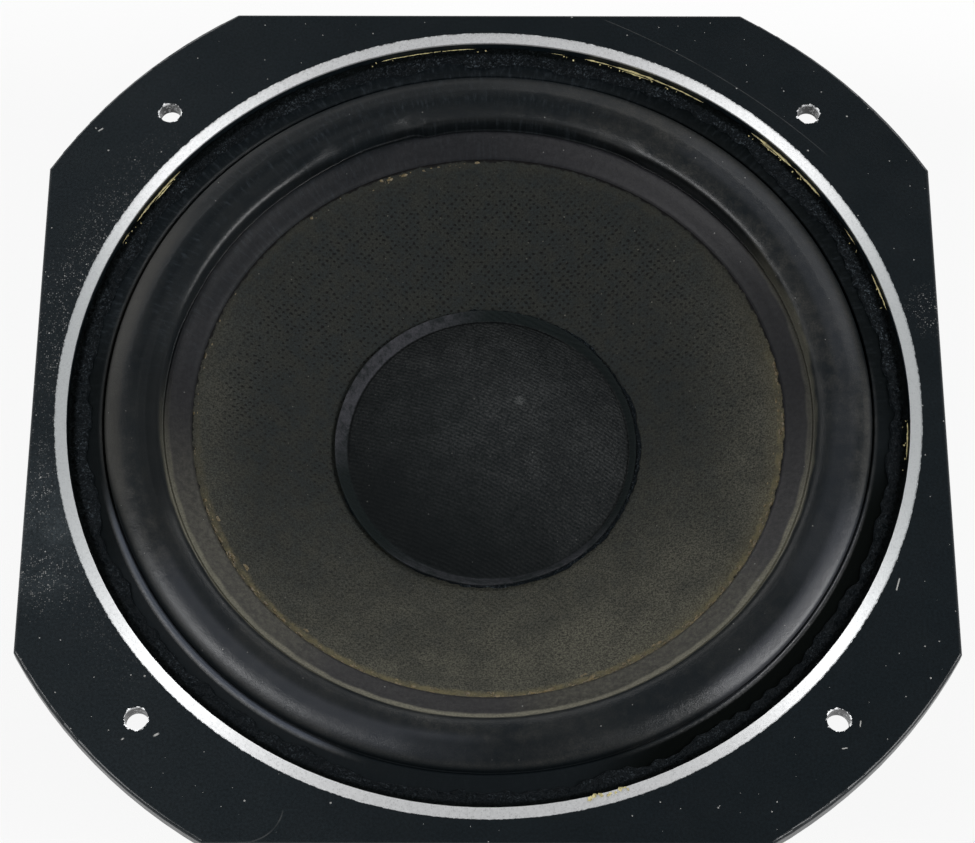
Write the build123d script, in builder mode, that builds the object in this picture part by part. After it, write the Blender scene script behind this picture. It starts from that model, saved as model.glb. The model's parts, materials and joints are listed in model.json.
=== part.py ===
"""Bass driver with a square die-cast face plate, a half-roll surround, a woven cone and a ferrite motor.

The driver stands on its back plate. The origin is the centre of the back plate's rear face,
and +Z points out of the cone, towards the listener. All sizes are in millimetres.
"""

import os
from math import atan2, cos, radians, sin, sqrt, tan

from build123d import *

os.makedirs("parts", exist_ok=True)

# Motor
back_plate_radius = 48.0
back_plate_thickness = 6.0
magnet_radius = 50.0
magnet_bore_radius = 24.0
magnet_thickness = 20.0
magnet_chamfer = 1.5
top_plate_radius = 48.0
top_plate_thickness = 6.0
steel_chamfer = 0.8
pole_spigot_radius = 12.0
press_clearance = 0.08

# Voice coil, measured outwards from the bore of its former
coil_bore_radius = 19.1
pole_clearance = 0.4
former_wall = 0.3
winding_build = 0.8
gap_clearance = 0.55
winding_length = 14.0
former_tail = 1.0
former_head = 1.5
collar_wall = 0.3
collar_head_gap = 1.0

# Face plate and recess of the casting
recess_radius = 101.6
recess_depth = 4.4
plate_border = 8.4
corner_reach = 17.5
plate_thickness = 4.5
plate_edge_radius = 0.8
bolt_count = 4
bolt_edge_margin = 13.5
bolt_hole_radius = 2.75
land_width = 2.8
land_depth = 0.15

# Rim, legs and bowl of the casting
basket_depth = 56.0
rim_wall = 3.4
rim_floor = 4.0
rim_shelf = 7.0
leg_wall = 3.0
leg_count = 4
leg_rib_thickness = 4.0
leg_rib_inset = 0.8
leg_rib_foot_rise = 6.0
leg_foot_rise = 14.5
leg_foot_width = 23.2
leg_head_width = 24.8
window_sill_rise = 15.5
window_corner_radius = 6.0
bowl_wall = 5.0
bowl_taper_rise = 9.0
seat_radius = 46.5
seat_bore_radius = 24.0
seat_thickness = 3.5
seat_floor_radius = 42.5
ledge_rise = 12.0
ledge_wall_rise = 7.7
ledge_setback = 1.5

# Screws from the seat into the top plate
screw_count = 4
screw_circle_radius = 35.0
screw_radius = 2.0
screw_clearance = 0.15
screw_engagement = 5.0
screw_head_radius = 3.8
screw_head_height = 2.6
screw_socket_width = 3.0
screw_socket_depth = 1.6

# Surround
surround_thickness = 1.0
recess_clearance = 0.2
flange_width = 7.9
gutter_width = 1.2
gutter_depth = 0.6
roll_width = 13.8
roll_crest_drop = 0.1
inner_flange_width = 6.3
mouth_setback = 0.3
flange_glue_width = 4.6
flange_glue_height = 0.5
flange_glue_bevel = 0.3

# Cone and dust cap, with depths below the front of the face plate
bond_gap = 0.15
cone_thickness = 0.9
cone_edge_setback = 0.5
cone_edge_depth = 6.7
cone_neck_depth = 35.0
cone_neck_length = 2.0
cap_radius = 37.2
cap_lip_width = 2.4
cap_lip_lift = 0.75
cap_dome_rise = 9.5
cap_thickness = 0.5
cap_glue_spread = 0.6

# Spider
spider_radius = 57.0
spider_clearance = 0.5
spider_flange_width = 5.5
spider_land_width = 1.5
spider_thickness = 0.5
spider_wave_count = 5
spider_wave_height = 1.1
spider_wave_flat = 1.4

# Terminals, on the foot of one leg
terminal_angle = 45.0
pad_half_width = 12.0
pad_height = 10.0
pad_proud = 2.0
pad_depth = 6.5
board_width = 42.0
board_height = 11.0
board_thickness = 1.6
lead_side_gap = 3.9
tag_thickness = 0.8
tag_width_positive = 6.3
tag_width_negative = 4.8
tag_head = 3.0
tag_foot = 2.0
tag_bend_radius = 1.2
tag_blade_length = 9.0
rivet_radius = 1.4
rivet_clearance = 0.1
rivet_head_radius = 2.3
rivet_head_height = 0.8
rivet_grip = 4.0
solder_radius = 1.5
solder_height = 1.5
solder_taper = 15.0
lead_radius = 0.8
lead_joint_radius = 42.0
lead_joint_angle = 20.0
lead_approach = 5.0

# Heights of the stack, from the back plate upwards
top_plate_z = back_plate_thickness + magnet_thickness
seat_z = top_plate_z + top_plate_thickness
seat_top_z = seat_z + seat_thickness
front_z = seat_z + basket_depth
plate_rear_z = front_z - plate_thickness
recess_z = front_z - recess_depth
rim_bottom_z = recess_z - rim_floor
ledge_z = seat_z + ledge_rise
leg_foot_z = seat_z + leg_foot_rise

# Radii of the coil and its gap
pole_radius = coil_bore_radius - pole_clearance
former_radius = coil_bore_radius + former_wall
winding_radius = former_radius + winding_build
gap_radius = winding_radius + gap_clearance
collar_radius = former_radius + bond_gap + collar_wall
neck_radius = former_radius + bond_gap

# Radii of the casting and the surround
plate_half_width = recess_radius + plate_border
corner_radius = plate_half_width + corner_reach
bolt_circle_radius = corner_radius - bolt_edge_margin
rim_radius = recess_radius + rim_wall
leg_top_radius = rim_radius - rim_shelf
surround_radius = recess_radius - recess_clearance
flange_inner_radius = surround_radius - flange_width
mouth_radius = flange_inner_radius + mouth_setback
roll_outer_radius = flange_inner_radius - gutter_width
roll_inner_radius = roll_outer_radius - roll_width
cone_edge_radius = roll_inner_radius - cone_edge_setback
ledge_radius = spider_radius + spider_clearance
ledge_bore_radius = spider_radius - spider_flange_width - ledge_setback
bowl_radius = ledge_radius + bowl_wall

# Place of the terminal pad, hanging from the top of the bowl
pad_distance = bowl_radius + pad_proud
pad_centre_z = leg_foot_z - pad_height / 2
tag_offset = leg_foot_width / 2 + lead_side_gap

# The cone's wall is straight from its edge to its neck
cone_fall = (cone_neck_depth - cone_edge_depth) / (cone_edge_radius - neck_radius)
cone_slope = atan2(cone_fall, 1.0)


def cone_front_z(radius):
    """Height of the cone's front face at a radius."""
    return front_z - cone_edge_depth - (cone_edge_radius - radius) * cone_fall


def cone_back_z(radius):
    """Height of the cone's back face at a radius."""
    return cone_front_z(radius) - cone_thickness / cos(cone_slope)


def radial_plane(angle):
    """Upright plane through the axis, with local X pointing outwards at the angle and local Y up."""
    turn = radians(angle)
    return Plane(origin=(0, 0, 0), x_dir=(cos(turn), sin(turn), 0), z_dir=(sin(turn), -cos(turn), 0))


def facing_plane(angle, distance):
    """Upright plane that faces outwards at the angle, at a distance from the axis, with local Y up."""
    turn = radians(angle)
    outwards = Vector(cos(turn), sin(turn), 0)
    return Plane(origin=outwards * distance, x_dir=(-sin(turn), cos(turn), 0), z_dir=outwards)


# Back plate: steel disc with a bore for the pole's spigot
with BuildPart() as back_plate:
    with BuildSketch(Plane.XY):
        Circle(back_plate_radius)
        Circle(pole_spigot_radius + press_clearance, mode=Mode.SUBTRACT)
    extrude(amount=back_plate_thickness)
    chamfer(back_plate.edges().filter_by(GeomType.CIRCLE).sort_by(SortBy.RADIUS)[-2:], steel_chamfer)
back_plate.part.label = "back_plate"
export_step(back_plate.part, "parts/back_plate.step")

# Magnet: ferrite ring, a little wider than the plates
with BuildPart() as magnet:
    with BuildSketch(Plane.XY.offset(back_plate_thickness)):
        Circle(magnet_radius)
        Circle(magnet_bore_radius, mode=Mode.SUBTRACT)
    extrude(amount=magnet_thickness)
    chamfer(magnet.edges().filter_by(GeomType.CIRCLE).sort_by(SortBy.RADIUS)[-2:], magnet_chamfer)
magnet.part.label = "magnet"
export_step(magnet.part, "parts/magnet.step")

# Top plate: steel ring round the coil's gap, tapped for the basket's screws
with BuildPart() as top_plate:
    with BuildSketch(Plane.XY.offset(top_plate_z)):
        Circle(top_plate_radius)
        Circle(gap_radius, mode=Mode.SUBTRACT)
        with PolarLocations(screw_circle_radius, screw_count):
            Circle(screw_radius + screw_clearance, mode=Mode.SUBTRACT)
    extrude(amount=top_plate_thickness)
    chamfer(top_plate.edges().filter_by(GeomType.CIRCLE).sort_by(SortBy.RADIUS)[-2:], steel_chamfer)
top_plate.part.label = "top_plate"
export_step(top_plate.part, "parts/top_plate.step")

# Pole piece: steel cylinder level with the top plate, with a spigot through the back plate
with BuildPart() as pole_piece:
    with BuildSketch(Plane.XY):
        Circle(pole_spigot_radius)
    extrude(amount=back_plate_thickness)
    with BuildSketch(Plane.XY.offset(back_plate_thickness)):
        Circle(pole_radius)
    extrude(amount=seat_z - back_plate_thickness)
    chamfer(pole_piece.edges().group_by(Axis.Z)[-1], steel_chamfer)
pole_piece.part.label = "pole_piece"
export_step(pole_piece.part, "parts/pole_piece.step")

# Basket: one casting of face plate, recessed rim, four ribbed legs, spider ledge and magnet seat
leg_run = (leg_top_radius - bowl_radius) / (rim_bottom_z - leg_foot_z)
leg_lean = atan2(leg_run, 1.0)


def leg_outer_radius(height):
    """Radius of the legs' outer face at a height."""
    return bowl_radius + (height - leg_foot_z) * leg_run


def leg_inner_z(radius):
    """Height of the legs' inner face at a radius."""
    return leg_foot_z + (radius + leg_wall / cos(leg_lean) - bowl_radius) / leg_run


def window_half_width(leg_radius, leg_width):
    """Half of the opening between two legs of that width at a radius."""
    half_pitch = radians(180 / leg_count)
    leg_reach = sqrt(leg_radius**2 - (leg_width / 2) ** 2)
    return leg_reach * sin(half_pitch) - leg_width / 2 * cos(half_pitch)


leg_rib_z = leg_foot_z + leg_rib_foot_rise
window_sill_z = seat_z + window_sill_rise
window_sill_half_width = window_half_width(leg_outer_radius(window_sill_z), leg_foot_width)
window_head_half_width = window_half_width(leg_top_radius, leg_head_width)
with BuildPart() as basket:
    with BuildSketch(Plane.XY.offset(plate_rear_z)):
        Rectangle(2 * plate_half_width, 2 * plate_half_width)
        Circle(corner_radius, mode=Mode.INTERSECT)
    extrude(amount=plate_thickness)
    fillet(basket.edges().group_by(Axis.Z)[-1], plate_edge_radius)
    with BuildSketch(Plane.XZ):
        with BuildLine():
            Polyline(
                (mouth_radius, front_z),
                (rim_radius, front_z),
                (rim_radius, rim_bottom_z),
                (leg_top_radius, rim_bottom_z),
                (bowl_radius, leg_foot_z),
                (bowl_radius, seat_z + bowl_taper_rise),
                (seat_radius, seat_z),
                (seat_bore_radius, seat_z),
                (seat_bore_radius, seat_top_z),
                (seat_floor_radius, seat_top_z),
                (ledge_bore_radius, seat_z + ledge_wall_rise),
                (ledge_bore_radius, ledge_z),
                (ledge_radius, ledge_z),
                (ledge_radius, leg_inner_z(ledge_radius)),
                (mouth_radius, leg_inner_z(mouth_radius)),
                close=True,
            )
        make_face()
    revolve(axis=Axis.Z)
    with BuildSketch(Plane.XY.offset(front_z)):
        Circle(mouth_radius)
    extrude(amount=-plate_thickness, mode=Mode.SUBTRACT)
    with BuildSketch(Plane.XY.offset(front_z)):
        Circle(recess_radius)
    extrude(amount=-recess_depth, mode=Mode.SUBTRACT)
    with BuildSketch(Plane.XY.offset(front_z)):
        Circle(recess_radius + land_width)
    extrude(amount=-land_depth, mode=Mode.SUBTRACT)
    for leg in range(leg_count):
        leg_angle = terminal_angle + leg * 360 / leg_count
        with BuildSketch(radial_plane(leg_angle)):
            with BuildLine():
                Polyline(
                    (leg_outer_radius(leg_rib_z) - leg_wall / 2, leg_rib_z),
                    (leg_outer_radius(leg_rib_z), leg_rib_z),
                    (rim_radius - leg_rib_inset, rim_bottom_z),
                    (leg_top_radius - leg_wall / 2, rim_bottom_z),
                    close=True,
                )
            make_face()
        extrude(amount=leg_rib_thickness / 2, both=True)
    for window in range(leg_count):
        window_angle = terminal_angle + (window + 0.5) * 360 / leg_count
        with BuildSketch(facing_plane(window_angle, 0)) as window_outline:
            with BuildLine():
                Polyline(
                    (-window_sill_half_width, window_sill_z),
                    (window_sill_half_width, window_sill_z),
                    (window_head_half_width, rim_bottom_z),
                    (-window_head_half_width, rim_bottom_z),
                    close=True,
                )
            make_face()
            fillet(window_outline.vertices(), window_corner_radius)
        extrude(amount=rim_radius, mode=Mode.SUBTRACT)
    with BuildSketch(facing_plane(terminal_angle, pad_distance)):
        with Locations((0, pad_centre_z)):
            Rectangle(2 * pad_half_width, pad_height)
    extrude(amount=-pad_depth)
    with BuildSketch(facing_plane(terminal_angle, pad_distance)):
        with Locations((0, pad_centre_z)):
            Circle(rivet_radius + rivet_clearance)
    extrude(amount=-rivet_grip, mode=Mode.SUBTRACT)
    with BuildSketch(Plane.XY.offset(seat_top_z)):
        with PolarLocations(screw_circle_radius, screw_count):
            Circle(screw_radius + screw_clearance)
    extrude(amount=-seat_thickness, mode=Mode.SUBTRACT)
    with BuildSketch(Plane.XY.offset(front_z)):
        with PolarLocations(bolt_circle_radius, bolt_count, start_angle=360 / bolt_count / 2):
            Circle(bolt_hole_radius)
    extrude(amount=-plate_thickness, mode=Mode.SUBTRACT)
basket.part.label = "basket"
export_step(basket.part, "parts/basket.step")

# Magnet screws: socket heads on the seat, shanks in the top plate
with BuildPart() as magnet_screws:
    with BuildSketch(Plane.XY.offset(seat_top_z)):
        with PolarLocations(screw_circle_radius, screw_count):
            Circle(screw_radius)
    extrude(amount=-seat_thickness - screw_engagement)
    with BuildSketch(Plane.XY.offset(seat_top_z)):
        with PolarLocations(screw_circle_radius, screw_count):
            Circle(screw_head_radius)
    extrude(amount=screw_head_height)
    with BuildSketch(Plane.XY.offset(seat_top_z + screw_head_height)):
        with PolarLocations(screw_circle_radius, screw_count):
            RegularPolygon(screw_socket_width / 2, 6, major_radius=False)
    extrude(amount=-screw_socket_depth, mode=Mode.SUBTRACT)
magnet_screws.part.label = "magnet_screws"
export_step(magnet_screws.part, "parts/magnet_screws.step")

# Surround: flat outer flange in the recess, gutter, half roll, and an inner flange on the cone
flange_top_z = recess_z + surround_thickness
inner_flange_lift = (surround_thickness + bond_gap) / cos(cone_slope)
roll_foot_z = cone_front_z(roll_inner_radius) + inner_flange_lift
inner_flange_radius = roll_inner_radius - inner_flange_width
with BuildPart() as surround:
    with BuildSketch(Plane.XZ):
        with BuildLine():
            Polyline(
                (surround_radius, flange_top_z),
                (flange_inner_radius, flange_top_z),
                (roll_outer_radius, flange_top_z - gutter_depth),
            )
            ThreePointArc(
                (roll_outer_radius, flange_top_z - gutter_depth),
                (roll_outer_radius - roll_width / 2, front_z - roll_crest_drop),
                (roll_inner_radius, roll_foot_z),
            )
            Line(
                (roll_inner_radius, roll_foot_z),
                (inner_flange_radius, cone_front_z(inner_flange_radius) + inner_flange_lift),
            )
            offset(amount=surround_thickness, side=Side.LEFT)
        make_face()
    revolve(axis=Axis.Z)
surround.part.label = "surround"
export_step(surround.part, "parts/surround.step")

# Flange adhesive: glue ring along the recess wall, on top of the surround's flange
with BuildPart() as flange_adhesive:
    with BuildSketch(Plane.XY.offset(flange_top_z)):
        Circle(surround_radius)
        Circle(surround_radius - flange_glue_width, mode=Mode.SUBTRACT)
    extrude(amount=flange_glue_height)
    chamfer(flange_adhesive.edges().group_by(Axis.Z)[-1].sort_by(SortBy.RADIUS)[0], flange_glue_bevel)
flange_adhesive.part.label = "flange_adhesive"
export_step(flange_adhesive.part, "parts/flange_adhesive.step")

# Cone: straight woven wall with a short neck on the former
neck_outer_radius = neck_radius + cone_thickness
with BuildPart() as cone:
    with BuildSketch(Plane.XZ):
        with BuildLine():
            Polyline(
                (cone_edge_radius, cone_front_z(cone_edge_radius)),
                (neck_radius, cone_front_z(neck_radius)),
                (neck_radius, cone_back_z(neck_radius) - cone_neck_length),
                (neck_outer_radius, cone_back_z(neck_radius) - cone_neck_length),
                (neck_outer_radius, cone_back_z(neck_outer_radius)),
                (cone_edge_radius, cone_back_z(cone_edge_radius)),
                close=True,
            )
        make_face()
    revolve(axis=Axis.Z)
cone.part.label = "cone"
export_step(cone.part, "parts/cone.step")

# Dust cap: convex dome with a lip that turns up from the cone
cap_crease_radius = cap_radius - cap_lip_width
cap_lip_rise = cap_lip_width * cone_fall + cap_lip_lift
cap_crease_z = cone_front_z(cap_crease_radius) + bond_gap + cap_thickness
with BuildPart() as dust_cap:
    with BuildSketch(Plane.XZ):
        with BuildLine():
            TangentArc((0, cap_crease_z + cap_dome_rise), (cap_crease_radius, cap_crease_z), tangent=(1, 0))
            Line((cap_crease_radius, cap_crease_z), (cap_radius, cap_crease_z + cap_lip_rise))
            offset(amount=cap_thickness, side=Side.RIGHT)
        make_face()
    revolve(axis=Axis.Z)
dust_cap.part.label = "dust_cap"
export_step(dust_cap.part, "parts/dust_cap.step")

# Cap adhesive: glue bead in the wedge between the cap's lip and the cone
lip_fall = cap_lip_rise / cap_lip_width
glue_drop = (cap_thickness + bond_gap) / cos(atan2(lip_fall, 1.0))
glue_root_radius = cap_crease_radius + (glue_drop - cap_thickness) / (lip_fall - cone_fall)
glue_outer_radius = cap_radius + cap_glue_spread
with BuildPart() as cap_adhesive:
    with BuildSketch(Plane.XZ):
        with BuildLine():
            Polyline(
                (glue_root_radius, cone_front_z(glue_root_radius) + bond_gap),
                (glue_outer_radius, cone_front_z(glue_outer_radius) + bond_gap),
                (cap_radius, cap_crease_z + cap_lip_rise - glue_drop),
                close=True,
            )
        make_face()
    revolve(axis=Axis.Z)
cap_adhesive.part.label = "cap_adhesive"
export_step(cap_adhesive.part, "parts/cap_adhesive.step")

# Voice coil: former tube, paper collar and copper winding, centred on the top plate
winding_z = top_plate_z + top_plate_thickness / 2 - winding_length / 2
former_z = winding_z - former_tail
former_top_z = cone_front_z(neck_radius) + former_head
collar_z = winding_z + winding_length + bond_gap
collar_top_z = cone_back_z(neck_radius) - cone_neck_length - collar_head_gap
with BuildPart() as voice_coil_former:
    with BuildSketch(Plane.XY.offset(former_z)):
        Circle(former_radius)
        Circle(coil_bore_radius, mode=Mode.SUBTRACT)
    extrude(amount=former_top_z - former_z)
voice_coil_former.part.label = "voice_coil_former"
export_step(voice_coil_former.part, "parts/voice_coil_former.step")

with BuildPart() as former_collar:
    with BuildSketch(Plane.XY.offset(collar_z)):
        Circle(collar_radius)
        Circle(former_radius + bond_gap, mode=Mode.SUBTRACT)
    extrude(amount=collar_top_z - collar_z)
former_collar.part.label = "former_collar"
export_step(former_collar.part, "parts/former_collar.step")

with BuildPart() as voice_coil_winding:
    with BuildSketch(Plane.XY.offset(winding_z)):
        Circle(winding_radius)
        Circle(former_radius + press_clearance, mode=Mode.SUBTRACT)
    extrude(amount=winding_length)
voice_coil_winding.part.label = "voice_coil_winding"
export_step(voice_coil_winding.part, "parts/voice_coil_winding.step")

# Spider: flat land on the collar, corrugations, and a flange on the basket's ledge
spider_bore_radius = collar_radius + bond_gap
wave_start = spider_bore_radius + spider_land_width
wave_end = spider_radius - spider_flange_width
wave_pitch = (wave_end - wave_start) / spider_wave_count
wave_points = []
for wave in range(spider_wave_count):
    valley_radius = wave_start + (wave + 0.25) * wave_pitch
    crest_radius = wave_start + (wave + 0.75) * wave_pitch
    wave_points += [
        (valley_radius - spider_wave_flat / 2, ledge_z - spider_wave_height),
        (valley_radius + spider_wave_flat / 2, ledge_z - spider_wave_height),
        (crest_radius - spider_wave_flat / 2, ledge_z + spider_wave_height),
        (crest_radius + spider_wave_flat / 2, ledge_z + spider_wave_height),
    ]
with BuildPart() as spider:
    with BuildSketch(Plane.XZ):
        with BuildLine():
            Polyline(
                (spider_bore_radius, ledge_z),
                (wave_start, ledge_z),
                *wave_points,
                (wave_end, ledge_z),
                (spider_radius, ledge_z),
            )
            offset(amount=spider_thickness, side=Side.LEFT, kind=Kind.INTERSECTION)
        make_face()
    revolve(axis=Axis.Z)
spider.part.label = "spider"
export_step(spider.part, "parts/spider.step")

# Terminal board: insulating strip on the pad of one leg
board_distance = pad_distance + board_thickness
with BuildPart() as terminal_board:
    with BuildSketch(facing_plane(terminal_angle, pad_distance)):
        with Locations((0, pad_centre_z)):
            Rectangle(board_width, board_height)
            with GridLocations(tag_offset, 0, 3, 1):
                Circle(rivet_radius + rivet_clearance, mode=Mode.SUBTRACT)
    extrude(amount=board_thickness)
terminal_board.part.label = "terminal_board"
export_step(terminal_board.part, "parts/terminal_board.step")

# Terminal tags: strips on the board, with a blade bent outwards below and a soldered head above
tag_top_z = pad_centre_z + board_height / 2 + tag_head
tag_blade_z = pad_centre_z - board_height / 2 + tag_foot
tag_centre_distance = board_distance + tag_thickness / 2


def terminal_point(distance, across, height):
    """Point at a distance along the terminal leg's direction, and across it."""
    turn = radians(terminal_angle)
    return Vector(distance * cos(turn) - across * sin(turn), distance * sin(turn) + across * cos(turn), height)


def tag_plane(across):
    """Upright radial plane through a tag's middle."""
    return Plane(
        origin=terminal_point(0, across, 0),
        x_dir=terminal_point(1, 0, 0),
        z_dir=-terminal_point(0, 1, 0),
    )


for name, side, width in (
    ("terminal_tag_positive", 1, tag_width_positive),
    ("terminal_tag_negative", -1, tag_width_negative),
):
    with BuildPart() as terminal_tag:
        with BuildSketch(tag_plane(side * tag_offset)):
            with BuildLine():
                FilletPolyline(
                    (board_distance, tag_top_z),
                    (board_distance, tag_blade_z),
                    (board_distance + tag_blade_length, tag_blade_z),
                    radius=tag_bend_radius,
                )
                offset(amount=tag_thickness, side=Side.LEFT)
            make_face()
        extrude(amount=width / 2, both=True)
        with BuildSketch(facing_plane(terminal_angle, board_distance)):
            with Locations((side * tag_offset, pad_centre_z)):
                Circle(rivet_radius + rivet_clearance)
        extrude(amount=tag_thickness, mode=Mode.SUBTRACT)
        with BuildSketch(Plane(terminal_point(tag_centre_distance, side * tag_offset, tag_top_z))):
            Circle(solder_radius)
        extrude(amount=solder_height, taper=solder_taper)
    terminal_tag.part.label = name
    export_step(terminal_tag.part, f"parts/{name}.step")

# Terminal rivets: one through each tag and one from the board into the pad
with BuildPart() as terminal_rivets:
    with BuildSketch(facing_plane(terminal_angle, board_distance)):
        with Locations((0, pad_centre_z)):
            Circle(rivet_head_radius)
    extrude(amount=rivet_head_height)
    with BuildSketch(facing_plane(terminal_angle, board_distance)):
        with Locations((0, pad_centre_z)):
            Circle(rivet_radius)
    extrude(amount=-board_thickness - rivet_grip + rivet_clearance)
    with BuildSketch(facing_plane(terminal_angle, board_distance + tag_thickness)):
        with Locations((0, pad_centre_z)):
            with GridLocations(2 * tag_offset, 0, 2, 1):
                Circle(rivet_head_radius)
    extrude(amount=rivet_head_height)
    with BuildSketch(facing_plane(terminal_angle, board_distance + tag_thickness)):
        with Locations((0, pad_centre_z)):
            with GridLocations(2 * tag_offset, 0, 2, 1):
                Circle(rivet_radius)
    extrude(amount=-tag_thickness - board_thickness)
    with BuildSketch(facing_plane(terminal_angle, pad_distance)):
        with Locations((0, pad_centre_z)):
            with GridLocations(2 * tag_offset, 0, 2, 1):
                Circle(rivet_head_radius)
    extrude(amount=-rivet_head_height)
terminal_rivets.part.label = "terminal_rivets"
export_step(terminal_rivets.part, "parts/terminal_rivets.step")

# Tinsel leads: limp braids that rise from the tags, pass beside the leg and meet the cone's back
lead_start_z = tag_top_z + solder_height + bond_gap
lead_end_z = cone_back_z(lead_joint_radius) - bond_gap / cos(cone_slope)
lead_end_across = lead_joint_radius * sin(radians(lead_joint_angle))
lead_end_distance = lead_joint_radius * cos(radians(lead_joint_angle))
for name, side in (("tinsel_lead_positive", 1), ("tinsel_lead_negative", -1)):
    lead_points = [
        terminal_point(tag_centre_distance, side * tag_offset, lead_start_z),
        terminal_point(tag_centre_distance - 0.5, side * tag_offset, lead_start_z + 5.0),
        terminal_point(tag_centre_distance - 6.5, side * tag_offset, lead_start_z + 9.0),
        terminal_point(tag_centre_distance - 14.5, side * tag_offset, lead_start_z + 5.5),
        terminal_point(lead_end_distance + 3.6, side * (lead_end_across + 0.6), lead_end_z - lead_approach),
        terminal_point(lead_end_distance, side * lead_end_across, lead_end_z),
    ]
    lead_runs = [b - a for a, b in zip(lead_points, lead_points[1:])]
    lead_radii = [
        0.45 * min(a.length, b.length) / tan(radians(a.get_angle(b)) / 2) for a, b in zip(lead_runs, lead_runs[1:])
    ]
    with BuildPart() as tinsel_lead:
        with BuildLine() as lead_route:
            FilletPolyline(*lead_points, radius=lead_radii)
        with BuildSketch(Plane(origin=lead_route.line @ 0, z_dir=lead_route.line % 0)):
            Circle(lead_radius)
        sweep()
    tinsel_lead.part.label = name
    export_step(tinsel_lead.part, f"parts/{name}.step")
    print(name, "bend radii", [round(bend, 1) for bend in lead_radii])
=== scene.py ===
"""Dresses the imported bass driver: finishes for every part, its soft and glued pieces, and a plain studio.

The frame's parts keep their places. Lengths are in metres, and finishes count in millimetres on the piece.
"""

import json
from math import atan2, cos, exp, hypot, pi, radians, sin, tau
from random import Random

import bpy
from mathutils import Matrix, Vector, noise
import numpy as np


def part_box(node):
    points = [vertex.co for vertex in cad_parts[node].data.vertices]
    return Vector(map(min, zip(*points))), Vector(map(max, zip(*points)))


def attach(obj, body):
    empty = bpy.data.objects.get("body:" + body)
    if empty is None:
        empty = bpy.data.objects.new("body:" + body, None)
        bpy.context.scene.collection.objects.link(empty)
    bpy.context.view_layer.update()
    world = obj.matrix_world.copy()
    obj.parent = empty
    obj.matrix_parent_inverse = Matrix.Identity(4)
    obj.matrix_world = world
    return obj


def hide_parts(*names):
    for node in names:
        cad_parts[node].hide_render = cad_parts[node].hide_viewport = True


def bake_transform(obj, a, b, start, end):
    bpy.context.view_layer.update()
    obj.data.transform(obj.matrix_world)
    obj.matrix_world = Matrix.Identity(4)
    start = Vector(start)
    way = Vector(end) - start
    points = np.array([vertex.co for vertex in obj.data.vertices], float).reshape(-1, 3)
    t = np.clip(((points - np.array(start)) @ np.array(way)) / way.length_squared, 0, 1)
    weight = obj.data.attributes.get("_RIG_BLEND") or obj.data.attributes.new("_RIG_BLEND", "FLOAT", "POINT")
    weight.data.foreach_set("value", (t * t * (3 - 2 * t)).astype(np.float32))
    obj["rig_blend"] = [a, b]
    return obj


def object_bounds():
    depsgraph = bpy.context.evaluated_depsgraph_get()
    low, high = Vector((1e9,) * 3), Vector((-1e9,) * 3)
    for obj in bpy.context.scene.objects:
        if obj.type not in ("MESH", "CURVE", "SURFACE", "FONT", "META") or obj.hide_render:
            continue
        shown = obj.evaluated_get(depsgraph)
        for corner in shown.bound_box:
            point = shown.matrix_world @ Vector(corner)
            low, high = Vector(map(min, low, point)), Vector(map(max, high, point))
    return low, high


bl_info = {
    "name": "Bass driver dressing",
    "version": (1, 0, 0),
    "blender": (4, 5, 0),
    "location": "View3D > Sidebar > Driver",
    "description": "Models the soft and glued pieces of a bass driver and gives each part its finish",
    "category": "Object",
}

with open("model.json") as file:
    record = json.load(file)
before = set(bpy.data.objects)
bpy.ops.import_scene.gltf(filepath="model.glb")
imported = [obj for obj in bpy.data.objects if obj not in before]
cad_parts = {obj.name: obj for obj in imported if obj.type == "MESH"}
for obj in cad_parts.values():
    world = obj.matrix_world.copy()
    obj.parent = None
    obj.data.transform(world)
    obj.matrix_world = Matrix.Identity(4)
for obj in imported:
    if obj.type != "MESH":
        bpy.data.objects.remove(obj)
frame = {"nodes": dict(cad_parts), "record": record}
CAD_LOW, CAD_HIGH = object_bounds()

MM = 0.001
FIXED_BODY = "frame"
MOVING_BODY = "diaphragm"

# Places that the frame gives
FRONT = CAD_HIGH.z
FLANGE_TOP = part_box("flange_adhesive")[0].z
SURROUND_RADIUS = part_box("surround")[1].x
CAP_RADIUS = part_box("dust_cap")[1].x
CAP_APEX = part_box("dust_cap")[1].z
SPIDER_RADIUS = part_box("spider")[1].x
SPIDER_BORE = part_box("former_collar")[1].x + 0.15 * MM
SPIDER_MIDDLE = sum(corner.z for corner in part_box("spider")) / 2
CONE_EDGE_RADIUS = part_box("cone")[1].x
CONE_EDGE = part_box("cone")[1].z

# The cone's straight front face, as in the part
NECK_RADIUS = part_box("voice_coil_former")[1].x + 0.15 * MM
CONE_NECK = FRONT - 35.0 * MM
CONE_FALL = (CONE_EDGE - CONE_NECK) / (CONE_EDGE_RADIUS - NECK_RADIUS)

# Where the ring's bare land, the bolt holes and the recess lie
RECESS_RADIUS = SURROUND_RADIUS + 0.2 * MM
LAND_WIDTH = 2.8 * MM
FLANGE_INNER_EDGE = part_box("cone")[1].x - 5.8 * MM
BOLT_OFFSET = frame["record"]["mounts"][0]["dims"]["spacing_x_mm"] / 2 * MM
BOLT_RADIUS = frame["record"]["mounts"][0]["dims"]["hole_r_mm"] * MM


def colour_property(name, description, default):
    """A colour that a user may change."""
    return bpy.props.FloatVectorProperty(
        name=name, description=description, default=default, subtype="COLOR", size=3, min=0.0, max=1.0
    )


def length_property(name, description, default):
    """A length that a user may change."""
    return bpy.props.FloatProperty(
        name=name, description=description, default=default, unit="LENGTH", min=0.0, precision=5
    )


def angle_property(name, description, default):
    """An angle that a user may change, with its default in degrees."""
    return bpy.props.FloatProperty(
        name=name, description=description, default=radians(default), subtype="ANGLE"
    )


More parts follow.
